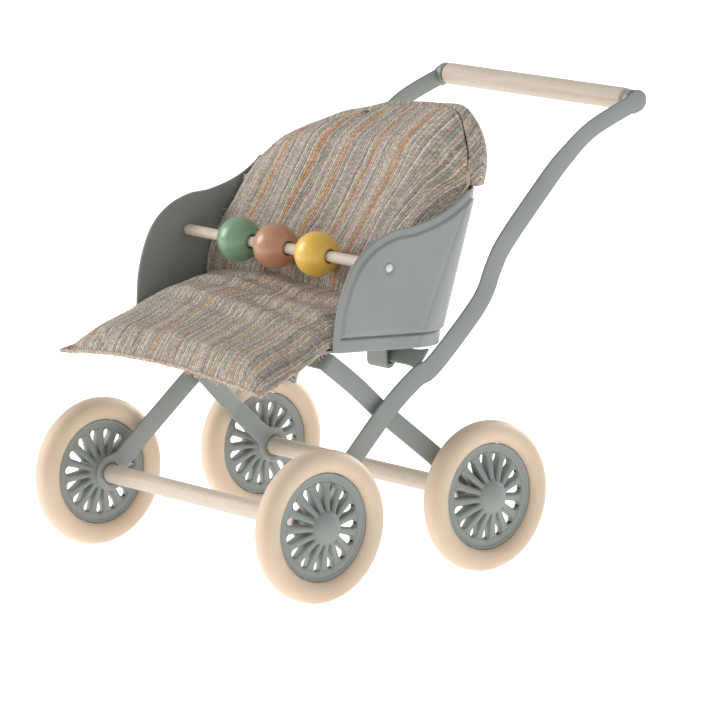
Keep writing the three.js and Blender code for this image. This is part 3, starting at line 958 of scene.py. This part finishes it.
def turn_y(z):
    """Where the flat side ends and the rounded rear corner begins."""
    return back_y_at(z) - corner_at(z)


def middle_q(z):
    """The unrolled shell's width at level z, out to the middle of the back."""
    return turn_y(z) + corner_at(z) * math.pi / 2 + half_width_at(z) - corner_at(z)


def floor_z(y):
    return SEAT_BOTTOM_Z - SEAT_TILT * (y - SEAT_FRONT_Y)


def on_shell(q, z, inset):
    """Points of the shell from unrolled coordinates: q is y on the side, and goes on round the corner."""
    q, z, inset = np.broadcast_arrays(np.asarray(q, float), z, inset)
    radius = corner_at(z)
    turn = turn_y(z)
    angle = np.clip((q - turn) / radius, 0, math.pi / 2)
    before = np.minimum(q - turn, 0)
    past = np.maximum(q - turn - radius * math.pi / 2, 0)
    x = half_width_at(z) - radius + (radius - inset) * np.cos(angle) - past
    y = turn + before + (radius - inset) * np.sin(angle)
    return np.column_stack([x.ravel(), y.ravel(), z.ravel()])


def seat_rim_line():
    """The unrolled rim, from above the front foot to the middle of the back."""
    side = through(SIDE_RIM, 500)
    side = side[(side[:, 0] < turn_y(side[:, 1])) & (side[:, 1] > SEAT_BOTTOM_Z + FOOT_RADIUS)]
    last = side[-1]
    x_back = half_width_at(101) - corner_at(101)
    arch_end = ARCH_TOP - ARCH_RADIUS + math.sqrt(ARCH_RADIUS ** 2 - x_back ** 2)
    share = np.linspace(0, 1, 40)[1:]
    z_corner = last[1] + (arch_end - last[1]) * share
    corner = np.column_stack([turn_y(z_corner) + corner_at(z_corner) * share * math.pi / 2, z_corner])
    x = np.linspace(x_back, 0, 200)[1:]
    z_back = ARCH_TOP - ARCH_RADIUS + np.sqrt(ARCH_RADIUS ** 2 - x ** 2)
    back = np.column_stack([middle_q(z_back) - x, z_back])
    return np.concatenate([side, corner, back])


def seat_foot_line():
    """The unrolled lower edge, from the middle of the back to the front foot."""
    q = np.linspace(middle_q(59.7), SEAT_FRONT_Y + FOOT_RADIUS, 400)
    y = on_shell(q, 61.0, 0)[:, 1]
    return np.column_stack([q, floor_z(y)])


def spaced(line, gap):
    """A line's points at even distances, about a gap apart."""
    length = distances(line)
    places = np.linspace(0, length[-1], max(2, int(length[-1] / gap) + 1))
    return sampled(line, length, places)


def line_distance(points, line):
    """Distance from each point to a finely sampled line."""
    best = np.full(len(points), np.inf)
    batch = 400
    for start in range(0, len(line), batch):
        gaps = points[:, None, :] - line[None, start:start + batch, :]
        best = np.minimum(best, np.sqrt((gaps ** 2).sum(axis=2)).min(axis=1))
    return best


def thinned(groups):
    """Points from several groups in order, each kept only if it stands clear of those before it."""
    kept = []
    cells = {}
    cell = 1.2
    for points, gap in groups:
        for point in points:
            column, row = int(point[0] // cell), int(point[1] // cell)
            near = [other for i in (-1, 0, 1) for j in (-1, 0, 1)
                    for other in cells.get((column + i, row + j), ())]
            if all(math.dist(point, other) > gap for other in near):
                cells.setdefault((column, row), []).append(tuple(point))
                kept.append(tuple(point))
    return kept


def seat_shell():
    rim = seat_rim_line()
    foot = seat_foot_line()
    centre = np.array([SEAT_FRONT_Y + FOOT_RADIUS, SEAT_BOTTOM_Z + FOOT_RADIUS])
    angles = np.linspace(1.5 * math.pi, math.pi, 12)
    toe = centre + FOOT_RADIUS * np.column_stack([np.cos(angles), np.sin(angles)])
    outline = spaced(np.concatenate([foot, toe, rim]), 0.55)
    inward = unit(np.gradient(outline, axis=0))
    inward = np.column_stack([inward[:, 1], -inward[:, 0]])
    fine_rim = spaced(np.concatenate([toe[6:], rim]), 0.08)
    half = WALL / 2

    def inside(distance):
        ring = outline + inward * distance
        for end, up in ((0, 1), (-1, -1)):
            z = outline[end, 1] + distance * up
            ring[end] = (middle_q(z), z)
        return ring

    def lift(flat):
        q, z = flat[:, 0], flat[:, 1]
        from_rim = line_distance(flat, fine_rim)
        height = z - np.interp(q, foot[::-1, 0], foot[::-1, 1])
        field = smooth_step(from_rim, BAND - 0.3, BAND + 0.35)
        rise = FIELD_RISE * field * smooth_step(height, SLIT_HEIGHT + 0.12, SLIT_HEIGHT + 0.3)
        slit = 0.7 * np.exp(-((height - SLIT_HEIGHT) / 0.27) ** 4)
        slit *= smooth_step(from_rim, BAND - 0.5, BAND + 0.2)
        crease = 0.16 * np.exp(-((q - turn_y(z)) / 0.55) ** 2) * field
        pin = np.hypot(q - PLAY_BAR_Y, z - PLAY_BAR_Z)
        ring = 0.28 * np.exp(-((pin - BAR_RADIUS) / 0.35) ** 2)
        return rise - slit - crease - ring

    closing = spaced(np.array([inside(half)[-1], inside(half)[0]]), 1.2)[1:-1]
    closing[:, 0] = middle_q(closing[:, 1])
    border = np.concatenate([inside(half), closing])
    q_fill, z_fill = np.meshgrid(np.arange(-18, 76, 1.25), np.arange(59, 116, 1.25))
    from_band = BAND + np.array([-0.5, -0.3, -0.12, 0.05, 0.2, 0.38, 0.6])
    lines = [(outline + inward * d, 0.16) for d in from_band]
    from_foot = SLIT_HEIGHT + np.array([-0.5, -0.28, -0.18, -0.08, 0.08, 0.17, 0.26, 0.36, 0.7])
    lines += [(foot + (0, h), 0.13) for h in from_foot]
    z_crease = np.linspace(60, 104, 90)
    lines += [(np.column_stack([turn_y(z_crease) + d, z_crease]), 0.2)
              for d in (0, -0.35, 0.35, -0.7, 0.7, -1.1, 1.1)]
    ring = np.linspace(0, 2 * math.pi, 25)[:-1]
    lines = [(np.column_stack([PLAY_BAR_Y + r * np.cos(ring), PLAY_BAR_Z + r * np.sin(ring)]), 0.12)
             for r in (0.9, 1.15, 1.35, 1.5, 1.65, 1.9, 2.2)] + lines
    groups = [(border, 0.0)]
    for line, gap in lines + [(np.column_stack([q_fill.ravel(), z_fill.ravel()]), 0.75)]:
        line = spaced(line, 0.5) if len(line) > 100 and gap < 0.7 else line
        height = line[:, 1] - np.interp(line[:, 0], foot[::-1, 0], foot[::-1, 1])
        within = (height > 0.9) & (line[:, 0] < middle_q(line[:, 1]) - 0.5) & (line[:, 0] > SEAT_FRONT_Y)
        line = line[within]
        top = np.interp(line[:, 0], rim[:, 0], rim[:, 1])
        line = line[line[:, 1] < top - 0.05]
        line = line[line_distance(line, fine_rim) > 0.9]
        groups.append((line, gap))
    flat = thinned(groups)
    count = len(border)
    edges = [(i, (i + 1) % count) for i in range(count)]
    flat_points, _, triangles, *_ = delaunay_2d_cdt([Vector(p) for p in flat], edges, [list(range(count))],
                                                    1, 1e-5)
    flat_points = np.array([tuple(p) for p in flat_points])
    points = [on_shell(flat_points[:, 0], flat_points[:, 1], -lift(flat_points)),
              on_shell(flat_points[:, 0], flat_points[:, 1], WALL)]
    size = len(flat_points)
    faces = [tuple(t) for t in triangles] + [tuple(i + size for i in t) for t in triangles]
    turns = np.linspace(-math.pi / 2, math.pi / 2, 9)
    for angle in turns:
        ring = inside(half * (1 - math.cos(angle)))
        points.append(on_shell(ring[:, 0], ring[:, 1], half * (1 + math.sin(angle))))
    faces += grid_faces(len(turns), len(outline), start=2 * size)
    right = np.concatenate(points)
    both = np.concatenate([right, right * (-1, 1, 1)])
    faces += [tuple(i + len(right) for i in reversed(face)) for face in faces]
    piece("seat_shell_look", both, faces, PAINT, "frame", ["seat_shell"])


def seat_pan():
    """The seat's plate, with a lip that curls down at the front and ends in a rolled edge."""
    under = [(-27.6, 56.6), (-26.8, 59.2), (-25.2, 61.3), (-22.6, 62.55), (-18.3, 62.8)]
    front = evenly(under, 30)[0]
    flat = [(y, floor_z(y)) for y in np.linspace(SEAT_FRONT_Y, 24.3, 40)[1:]]
    line = np.concatenate([front, flat])
    radius = 0.62
    roll = [(front[0][0] + radius * (math.cos(a) - 1), front[0][1] + radius * math.sin(a))
            for a in np.linspace(-1.5 * math.pi, 0, 10)[:-1]]
    line = np.concatenate([roll, line])
    along = unit(np.gradient(line, axis=0))
    up = np.column_stack([-along[:, 1], along[:, 0]])
    thickness, clearance = 0.7, 1.3
    points = []
    shares = np.concatenate([[-1, -0.995, -0.985], np.linspace(-0.96, 0.96, 40), [0.985, 0.995, 1]])
    for layer in (0, 1):
        for (y, z), (uy, uz) in zip(line, up):
            radius = corner_at(z) - clearance
            half = half_width_at(z) - clearance
            past = max(0.0, y - (back_y_at(z) - clearance - radius))
            width = half - radius + math.sqrt(max(0.0, radius ** 2 - past ** 2))
            if y < SEAT_FRONT_Y:
                width = half + 0.2 - 2.2 * ((SEAT_FRONT_Y - y) / 9.5) ** 2
            for share in shares:
                shift = thickness * layer
                points.append((width * share, y + uy * shift, z + uz * shift + 0.05))
    rows, columns = len(line), len(shares)
    faces = grid_faces(rows, columns) + grid_faces(rows, columns, start=rows * columns)
    second = rows * columns
    for j in range(rows - 1):
        for i in (0, columns - 1):
            a, b = j * columns + i, (j + 1) * columns + i
            faces.append((a, b, b + second, a + second))
    for i in range(columns - 1):
        for j in (0, rows - 1):
            a = j * columns + i
            faces.append((a, a + 1, a + 1 + second, a + second))
    rounded(piece("seat_pan_look", points, faces, PAINT, "frame", ["seat_pan"]), 0.2, 2)


seat_shell()
seat_pan()


# ---- cushions ----
SIMULATION_SCALE = 20.0    # the cloth solver works best on pieces about a metre across
LAST_FRAME = 20
PRESSURE = 4.0
SHRINK = -0.02             # below zero the cloth may grow
MOST_SWELL = 1.8           # mm
FRONT_LINE = [(4.5, 70), (7.5, 74), (13.6, 88), (19.6, 101), (22.8, 110), (26.5, 116), (30.5, 121)]


def bulge(u, v, power=5.0):
    """A pillow's thickness over its face: 1 in the middle, falling off round its edges to 0 at the seam."""
    across = 1 - np.abs(2 * u - 1) ** power
    along = 1 - np.abs(2 * v - 1) ** power
    return np.sqrt(np.clip(across, 0, 1)) * np.sqrt(np.clip(along, 0, 1))


def edge_dense(count):
    s = np.linspace(0, 1, count)
    return s - 0.92 * np.sin(2 * math.pi * s) / (2 * math.pi)


def spline_at(points, places):
    """Points of a smooth line at shares of its length from 0 to 1."""
    fine, length = evenly(points, 600)
    return sampled(fine, length, np.asarray(places) * length[-1])


def between_edges(bottom, top, left, right, u, v):
    """A surface stretched between four edge lines."""
    b = spline_at(bottom, u)[None, :, :]
    t = spline_at(top, u)[None, :, :]
    l = spline_at(left, v)[:, None, :]
    r = spline_at(right, v)[:, None, :]
    uu, vv = u[None, :, None], v[:, None, None]
    corners = ((1 - uu) * (1 - vv) * b[:, :1] + uu * (1 - vv) * b[:, -1:] + (1 - uu) * vv * t[:, :1]
               + uu * vv * t[:, -1:])
    return (1 - vv) * b + vv * t + (1 - uu) * l + uu * r - corners


def row_lengths(grid):
    """How far each point of a grid lies from the first row, measured over the cloth."""
    steps = np.linalg.norm(np.diff(grid, axis=0), axis=2)
    return np.concatenate([np.zeros((1, grid.shape[1])), np.cumsum(steps, axis=0)])


def surface_normals(grid):
    return unit(np.cross(np.gradient(grid, axis=1), np.gradient(grid, axis=0)))


def ripple(weave, scale, seed, depth):
    """Uneven cloth: smooth noise over the cloth's own coordinates."""
    flat = weave.reshape(-1, 3)
    values = [noise.noise(Vector((p[0] * scale[0] + seed, p[1] * scale[1], seed * 1.7))) for p in flat]
    return depth * np.array(values).reshape(weave.shape[:2])


def fold(points, line, width, depth, lean):
    """A crease along a line in plan: negative depth sinks, and lean raises its far side."""
    a, b = np.array(line[0]), np.array(line[1])
    direction = (b - a) / np.linalg.norm(b - a)
    offset = points - a
    along = offset @ direction
    reach = np.linalg.norm(b - a)
    across = offset @ np.array([-direction[1], direction[0]])
    fade = smooth_step(along, -0.25 * reach, 0.15 * reach)
    fade *= 1 - smooth_step(along, 0.85 * reach, 1.25 * reach)
    crease = depth * np.exp(-(across / width) ** 2)
    shoulder = lean * np.exp(-((across - 2.2 * width) / (1.8 * width)) ** 2)
    return fade * (crease + shoulder)


def pillow(name, top, bottom, weave, bolt, replaces):
    """A closed pillow from two grids that meet at their borders, cut from one bolt of cloth."""
    rows, columns = top.shape[:2]
    points = np.concatenate([top.reshape(-1, 3), bottom.reshape(-1, 3)])
    faces = grid_faces(rows, columns)
    faces += [tuple(i + rows * columns for i in reversed(face)) for face in grid_faces(rows, columns)]
    cloth = weave.reshape(-1, 3).copy()
    cloth[:, 2] = bolt
    under = cloth * (1, -1, 1)
    obj = cloth_piece(name, points, faces, np.concatenate([cloth, under]), replaces)
    inside = np.zeros((rows, columns), bool)
    inside[1:-1, 1:-1] = True
    loose = {tuple(np.round(p, 7)) for p in place(top[inside]).astype(np.float32)}
    swell(obj, loose)
    smooth = obj.modifiers.new("smooth", "SUBSURF")
    smooth.levels = 1
    smooth.render_levels = 1
    apply_modifiers(obj)
    return obj


def swell(obj, loose):
    """Blows a cushion's open face up as cloth, while its seam and the face it rests on stay put."""
    scene = bpy.context.scene
    mesh = obj.data.copy()
    start = np.array([tuple(v.co) for v in mesh.vertices])
    free = np.array([tuple(np.round(np.float32(p), 7)) in loose for p in start])
    mesh.vertices.foreach_set("co", (start * SIMULATION_SCALE).astype(np.float32).ravel())
    model = bpy.data.objects.new("swelling", mesh)
    scene.collection.objects.link(model)
    held = model.vertex_groups.new(name="held")
    held.add([int(i) for i in np.flatnonzero(~free)], 1.0, "REPLACE")
    modifier = model.modifiers.new("cloth", "CLOTH")
    settings = modifier.settings
    settings.vertex_group_mass = "held"
    settings.use_pressure = True
    settings.uniform_pressure_force = PRESSURE
    settings.effector_weights.gravity = 0.0
    settings.shrink_min = SHRINK
    settings.quality = 5
    modifier.collision_settings.use_collision = False
    modifier.point_cache.frame_start = 1
    modifier.point_cache.frame_end = LAST_FRAME
    for frame in range(1, LAST_FRAME + 1):
        scene.frame_set(frame)
    evaluated = model.evaluated_get(bpy.context.evaluated_depsgraph_get()).to_mesh()
    end = np.array([tuple(v.co) for v in evaluated.vertices]) / SIMULATION_SCALE
    move = np.where(free[:, None], end - start, 0.0)
    reach = np.linalg.norm(move, axis=1, keepdims=True)
    move *= np.minimum(1.0, MOST_SWELL * MM / np.maximum(reach, 1e-9))
    obj.data.vertices.foreach_set("co", (start + move).astype(np.float32).ravel())
    obj.data.update()
    bpy.data.objects.remove(model)
    scene.frame_set(1)


def tubes(name, lines, radius, sides, material):
    """Thin round threads, each swept along its own line, as one piece."""
    points, faces = [], []
    for line in lines:
        line = np.asarray(line, float)
        along = unit(np.gradient(line, axis=0))
        side = unit(np.cross(along, (0.31, 0.17, 0.94)))
        lift = np.cross(side, along)
        first = len(points)
        for k, centre in enumerate(line):
            for j in range(sides):
                angle = 2 * math.pi * j / sides
                points.append(centre + radius * (math.cos(angle) * side[k] + math.sin(angle) * lift[k]))
        for k in range(len(line) - 1):
            for j in range(sides):
                a, b = first + k * sides + j, first + k * sides + (j + 1) % sides
                faces.append((a, b, b + sides, a + sides))
        faces.append(tuple(range(first, first + sides)))
        faces.append(tuple(range(len(points) - sides, len(points))))
    piece(name, points, faces, material, "frame")


def seam_and_fray(name, edge, outward, seed):
    """The rolled seam along a cushion's edge, with yarn ends that stick out of it."""
    chance = random.Random(seed)
    line, length = evenly(edge, 240)
    wave = np.array([noise.noise(Vector((d * 0.7, seed, 0.0))) for d in length])
    tubes(f"{name}_seam_look", [line + wave[:, None] * 0.25 * np.asarray(outward)], 0.5, 8, CLOTH_SEAM)
    ends = []
    for _ in range(int(length[-1] * 1.6)):
        root = line[chance.randrange(2, len(line) - 2)]
        reach = chance.uniform(0.6, 1.6)
        aim = unit(np.asarray(outward) + [chance.uniform(-0.8, 0.8) for _ in range(3)])
        droop = np.array([chance.uniform(-0.3, 0.3), chance.uniform(-0.3, 0.3), -0.25])
        ends.append([root + aim * reach * t + droop * reach * t * t for t in np.linspace(0, 1, 5)])
    tubes(f"{name}_threads_look", ends, 0.09, 5, THREAD)


def cloth_piece(name, points, faces, weave, replaces):
    """A piece of the striped cloth. The weave holds the cloth's own coordinates at each point."""
    return piece(name, points, faces, CLOTH, "frame", replaces, weave)


def lip_top(y):
    """The height of the seat pan's upper face."""
    outline = [(-29.0, 50.0), (-28.4, 56.5), (-27.6, 59.7), (-25.8, 62.1), (-22.8, 63.4), (-18.3, 63.7)]
    line = np.array(outline)
    front = np.interp(y, line[:, 0], line[:, 1], left=0.0)
    return np.where(y > SEAT_FRONT_Y, floor_z(y) + 0.85, front)


def seat_cushion():
    front = [(-42.6, -42.9, 55.5), (-39, -42.0, 55.6), (-34, -41.2, 56.2), (-21, -40.2, 57.0),
             (0, -39.7, 57.2), (21, -40.4, 56.4), (34, -41.3, 55.6), (39.5, -41.9, 55.2), (42.0, -42.3, 54.9)]
    rear = [(-41, 12.0, 69.4), (-21, 14, 68.6), (0, 14.5, 68.0), (21, 14, 67.6), (41, 12.0, 67.4)]
    left = [(-42.6, -42.9, 55.5), (-41.0, -35.5, 57.4), (-42.3, -27, 60.2), (-40.8, -18.5, 64.6),
            (-40.9, -12, 66.4), (-41, -4, 68.2), (-41, 12.0, 69.4)]
    right = [(42.0, -42.3, 54.9), (40.9, -35.5, 57.0), (40.5, -27, 60.4), (40.7, -18.5, 64.6),
             (40.8, -12, 65.6), (41, -4, 66.4), (41, 12.0, 67.4)]
    u, v = edge_dense(96), edge_dense(72)
    middle = between_edges(front, rear, left, right, u, v)
    uu, vv = np.meshgrid(u, v)
    core = (1 - np.abs(2 * uu - 1) ** 3) * np.sin(math.pi * np.clip(vv, 0, 1)) ** 0.8
    rise = smooth_step(middle[..., 1], -36, -20)
    level = 1 - 0.6 * smooth_step(middle[..., 1], -14, 4)
    middle[..., 2] += core * 1.5 * rise * level
    weave = np.zeros_like(middle)
    weave[..., 0] = (middle[..., 0] - 0.4) * 0.966
    weave[..., 1] = row_lengths(middle)
    weave[..., 0] += 0.5 * np.sin(weave[..., 1] / 9.0) * np.sin(weave[..., 0] / 17.0)
    plan = middle[..., :2]
    up = (2.7 + 1.6 * (1 - smooth_step(middle[..., 1], -36, -22))) * bulge(uu, vv, 6.0)
    up += 1.3 * smooth_step(middle[..., 1], -4, 5) * bulge(uu, vv, 4.0)
    soft = bulge(uu, vv, 3.0)
    up += soft * (ripple(weave, (0.05, 0.05), 3.1, 1.1) + ripple(weave, (0.16, 0.10), 7.7, 0.55))
    for line, width, depth, lean in ((((-26, -17.5), (16, -20.5)), 1.1, -1.2, 0.9),
                                     (((2, -12.5), (38, -17.0)), 1.3, -1.8, 1.0),
                                     (((-30, -8.5), (6, -7.0)), 1.4, -1.5, 1.0),
                                     (((-20, -2.5), (30, -5.5)), 1.3, -1.6, 0.9),
                                     (((-38, -37), (-27, -24)), 1.6, 0.5, 0.3)):
        up += soft * fold(plan, line, width, depth, lean)
    normals = surface_normals(middle)
    normals *= np.sign(normals[..., 2:3].mean())
    top = middle + normals * up[..., None]
    bottom = middle - normals * (2.3 * bulge(uu, vv, 7.0))[..., None]
    rest = lip_top(bottom[..., 1]) + 0.12
    border = bulge(uu, vv) <= 1e-9
    lifted = np.maximum(bottom[..., 2], np.minimum(rest, middle[..., 2] - 0.05))
    bottom[..., 2] = np.where(border, bottom[..., 2], lifted)
    obj = pillow("seat_cushion_look", top, bottom, weave, 0.0, ["seat_cushion"])
    return front, left, right


def back_cushion():
    bottom_edge = [(-40.5, 5.2, 71.4), (-18.5, 4.6, 73.3), (-0.4, 4.6, 72.2), (16, 4.8, 70.7),
                   (41, 7.5, 70.6)]
    left = [(-40.5, 5.2, 71.4), (-41, 7.0, 78.1), (-41, 12.3, 86.3), (-41.2, 16.6, 91.2), (-39.8, 20, 97.3),
            (-36.2, 22.6, 102.4), (-30.8, 24.8, 107.2)]
    top_edge = [(-30.8, 24.8, 107.2), (-24.2, 26.5, 110.4), (-15.2, 27.7, 113.2), (-2, 29.0, 116.9),
                (6.8, 30.3, 118.9), (22.9, 30.8, 120.2), (33, 30.3, 120.4), (38.3, 28.6, 118.0)]
    right = [(41, 7.5, 70.6), (41.6, 10.2, 79), (42.0, 15.2, 87), (42.3, 19.0, 93), (42.4, 23.6, 98),
             (42.2, 27.2, 101.6), (41.8, 27.6, 105.3), (41.4, 28.2, 110), (38.3, 28.6, 118.0)]
    u, v = edge_dense(96), edge_dense(78)
    middle = between_edges(bottom_edge, top_edge, left, right, u, v)
    uu, vv = np.meshgrid(u, v)
    profile = through(FRONT_LINE, 200)
    inner = bulge(uu, vv, 4.0) ** 1.2
    target = np.interp(middle[..., 2], profile[:, 1], profile[:, 0]) + 0.6
    middle[..., 1] += inner * (target - middle[..., 1])
    weave = np.zeros_like(middle)
    x, z = middle[..., 0], middle[..., 2]
    bend = 4.0 * smooth_step(x, 26, 42) * smooth_step(z, 88, 114)
    weave[..., 0] = x - 0.3 * (z - 72) - bend
    weave[..., 1] = row_lengths(middle)
    weave[..., 0] += 0.5 * np.sin(weave[..., 1] / 8.0 + 1.0) * np.sin(weave[..., 0] / 15.0)
    plan = np.stack([x, z], axis=-1)
    out = 2.7 * bulge(uu, vv, 5.0)
    soft = bulge(uu, vv, 3.0)
    out += soft * (ripple(weave, (0.05, 0.045), 11.3, 1.3) + ripple(weave, (0.15, 0.08), 5.9, 0.6))
    out += soft * fold(plan, ((-9, 88), (0.5, 118)), 1.3, -2.3, -1.3)
    out += soft * ripple(weave, (0.3, 0.16), 8.8, 0.35)
    for line, width, depth, lean in ((((4, 84), (-7, 96)), 1.2, -0.7, 0.6),
                                     (((26, 92), (34, 112)), 2.6, 0.9, 0.4),
                                     (((34, 88), (36, 104)), 1.6, -0.8, 0.5)):
        out += soft * fold(plan, line, width, depth, lean)
    notch = np.exp(-((x - 0.3) / 1.6) ** 2) * smooth_step(vv, 0.93, 1.0)
    middle[..., 2] -= 1.9 * notch
    normals = surface_normals(middle)
    normals *= -np.sign(normals[..., 1:2].mean())
    front = middle + normals * out[..., None]
    behind = middle - normals * (3.0 * bulge(uu, vv, 5.0))[..., None]
    wall = back_y_at(behind[..., 2]) - WALL - 0.35
    held = (behind[..., 2] < 103) & (bulge(uu, vv) > 1e-9)
    behind[..., 1] = np.where(held, np.minimum(behind[..., 1], wall), behind[..., 1])
    obj = pillow("back_cushion_look", front, behind, weave, 1.0, ["back_cushion"])
    return bottom_edge, left, right


def back_hood():
    """The back cushion's hood, which goes over the seat's back and ends in a hem behind it."""
    seam = [(-37.4, 22.2, 101.0), (-34.6, 23.4, 104.2), (-30.8, 25.2, 107.3), (-15.2, 28.2, 113.2),
            (-2, 29.6, 116.8), (6.8, 30.6, 118.8), (22.9, 31.2, 120.1), (33, 30.8, 120.3),
            (38.3, 29.0, 117.9), (41.4, 28.4, 110), (41.8, 27.6, 105.3), (41.2, 28.4, 101.2)]
    crest = [(-44.2, 30.2, 101.2), (-40.8, 30.2, 104.6), (-32, 30.6, 108.6), (-15.5, 31.4, 114.5),
             (-2, 32.2, 117.9), (7, 32.8, 119.8), (23, 33.2, 121.0), (34, 33.0, 121.1), (41.2, 31.8, 117.6),
             (43.9, 31.3, 111.4), (43.6, 31.0, 106), (42.6, 30.9, 101.1)]
    behind = [(-42.5, 33.4, 101.2), (-38.5, 33.8, 104), (-31, 34.2, 107), (-15, 34.8, 112), (-2, 35.2, 115.3),
              (7, 35.4, 116.8), (23, 35.6, 117.6), (33, 35.4, 116.6), (39.4, 34.9, 113.2), (41.8, 34.3, 109),
              (41.9, 34.0, 105), (40.8, 33.8, 101.1)]
    span = np.linspace(0, 1, 12)
    hem = [(-40.8 + 79.4 * s, 33.6 + 0.5 * math.sin(math.pi * s), 101.0 + 0.4 * math.sin(9 * s))
           for s in span]
    lower = [tuple((2 * np.array(b) + np.array(h)) / 3 + (0, 0.5, 0)) for b, h in zip(behind, hem)]
    lowest = [tuple((np.array(b) + 2 * np.array(h)) / 3 + (0, 0.4, 0)) for b, h in zip(behind, hem)]
    control = np.array([seam, crest, behind, lower, lowest, hem], float)
    rows, columns = 60, 150
    grid = through(control, rows)
    grid = np.swapaxes(through(np.swapaxes(grid, 0, 1), columns), 0, 1)
    weave = np.zeros_like(grid)
    weave[..., 0] = row_lengths(np.swapaxes(grid, 0, 1)).T
    weave[..., 0] -= weave[:, -1:, 0] / 2
    weave[..., 1] = row_lengths(grid)
    weave[..., 1] += 52
    weave[..., 2] = 1.0
    normals = surface_normals(grid)
    normals *= np.sign(normals[..., 1:2].mean())
    share = np.linspace(0, 1, rows)[:, None] * np.ones((1, columns))
    unevenness = ripple(weave, (0.09, 0.09), 2.2, 0.6) * np.sin(math.pi * share) ** 0.7
    grid = grid + normals * unevenness[..., None]
    obj = cloth_piece("back_hood_look", grid.reshape(-1, 3), grid_faces(rows, columns), weave.reshape(-1, 3),
                      ["back_hood"])
    thick = obj.modifiers.new("cloth", "SOLIDIFY")
    thick.thickness = 0.9 * MM
    thick.offset = -1.0
    apply_modifiers(obj)


seat_front, seat_left, seat_right = seat_cushion()
back_foot, back_left, back_right = back_cushion()
back_hood()
seam_and_fray("seat_front", seat_front, (0, -1, -0.3), 3)
seam_and_fray("seat_left_side", seat_left[:4], (-1, 0, -0.2), 4)
seam_and_fray("seat_right_side", seat_right[:4], (1, 0, -0.4), 5)
seam_and_fray("back_left_side", back_left, (-0.9, -0.4, 0), 6)
seam_and_fray("back_foot", back_foot, (0, -0.8, -0.6), 7)
seam_and_fray("back_right_side", back_right[:7], (0.5, -0.8, 0.2), 8)


# ---- floor, light and camera ----
SKY_STRENGTH = 0.53


def floor_material():
    n = Nodes("floor")
    cloud = n.noise(n.object_position(), 3.0, 2.0)
    colour = n.ramp(cloud, [(0.3, (0.90, 0.90, 0.90)), (0.7, (0.93, 0.93, 0.93))])
    n.shader.inputs["Emission Color"].default_value = (1, 1, 1, 1)
    n.shader.inputs["Emission Strength"].default_value = 0.7
    return n.finish(colour, 0.8)


def floor():
    mesh = bpy.data.meshes.new("floor")
    count, reach = 12, 3.0
    steps = np.linspace(-reach, reach, count)
    points = [(x, y, 0.0) for y in steps for x in steps]
    mesh.from_pydata(points, [], grid_faces(count, count))
    mesh.materials.append(floor_material())
    obj = bpy.data.objects.new("floor", mesh)
    bpy.context.scene.collection.objects.link(obj)


def area_light(name, spot, target, size, power):
    data = bpy.data.lights.new(name, "AREA")
    data.shape = "DISK"
    data.size = size
    data.energy = power
    obj = bpy.data.objects.new(name, data)
    bpy.context.scene.collection.objects.link(obj)
    obj.location = spot
    obj.rotation_euler = (Vector(target) - Vector(spot)).to_track_quat("-Z", "Y").to_euler()


def world():
    scene = bpy.context.scene
    scene.world = bpy.data.worlds.new("studio")
    scene.world.use_nodes = True
    tree = scene.world.node_tree
    background = tree.nodes["Background"]
    white = (1.0, 1.0, 1.0, 1.0)
    background.inputs["Color"].default_value = white
    background.inputs["Strength"].default_value = SKY_STRENGTH
    backdrop = tree.nodes.new("ShaderNodeBackground")
    backdrop.inputs["Color"].default_value = white
    chosen = tree.nodes.new("ShaderNodeMixShader")
    tree.links.new(tree.nodes.new("ShaderNodeLightPath").outputs["Is Camera Ray"], chosen.inputs["Fac"])
    tree.links.new(background.outputs[0], chosen.inputs[1])
    tree.links.new(backdrop.outputs[0], chosen.inputs[2])
    tree.links.new(chosen.outputs[0], tree.nodes["World Output"].inputs["Surface"])
    scene.view_settings.view_transform = "Standard"


def camera():
    data = bpy.data.cameras.new("camera")
    data.lens = 261.06
    data.sensor_width = 36.0
    data.clip_end = 20.0
    obj = bpy.data.objects.new("camera", data)
    bpy.context.scene.collection.objects.link(obj)
    forward = Vector((-0.76334, 0.61904, -0.18467)).normalized()
    right = Vector((0.63172, 0.77508, -0.01304)).normalized()
    up = right.cross(forward)
    turn = Matrix((right, up, -forward)).transposed()
    obj.matrix_world = Matrix.Translation(Vector((1.06954, -0.864355, 0.30841))) @ turn.to_4x4()
    bpy.context.scene.camera = obj


floor()
world()
area_light("key", (-0.9, -0.8, 0.6), (0, 0, 0.06), 0.8, 9.5)
area_light("rim", (-0.15, 1.3, 0.5), (0, 0, 0.06), 0.7, 14.0)
camera()
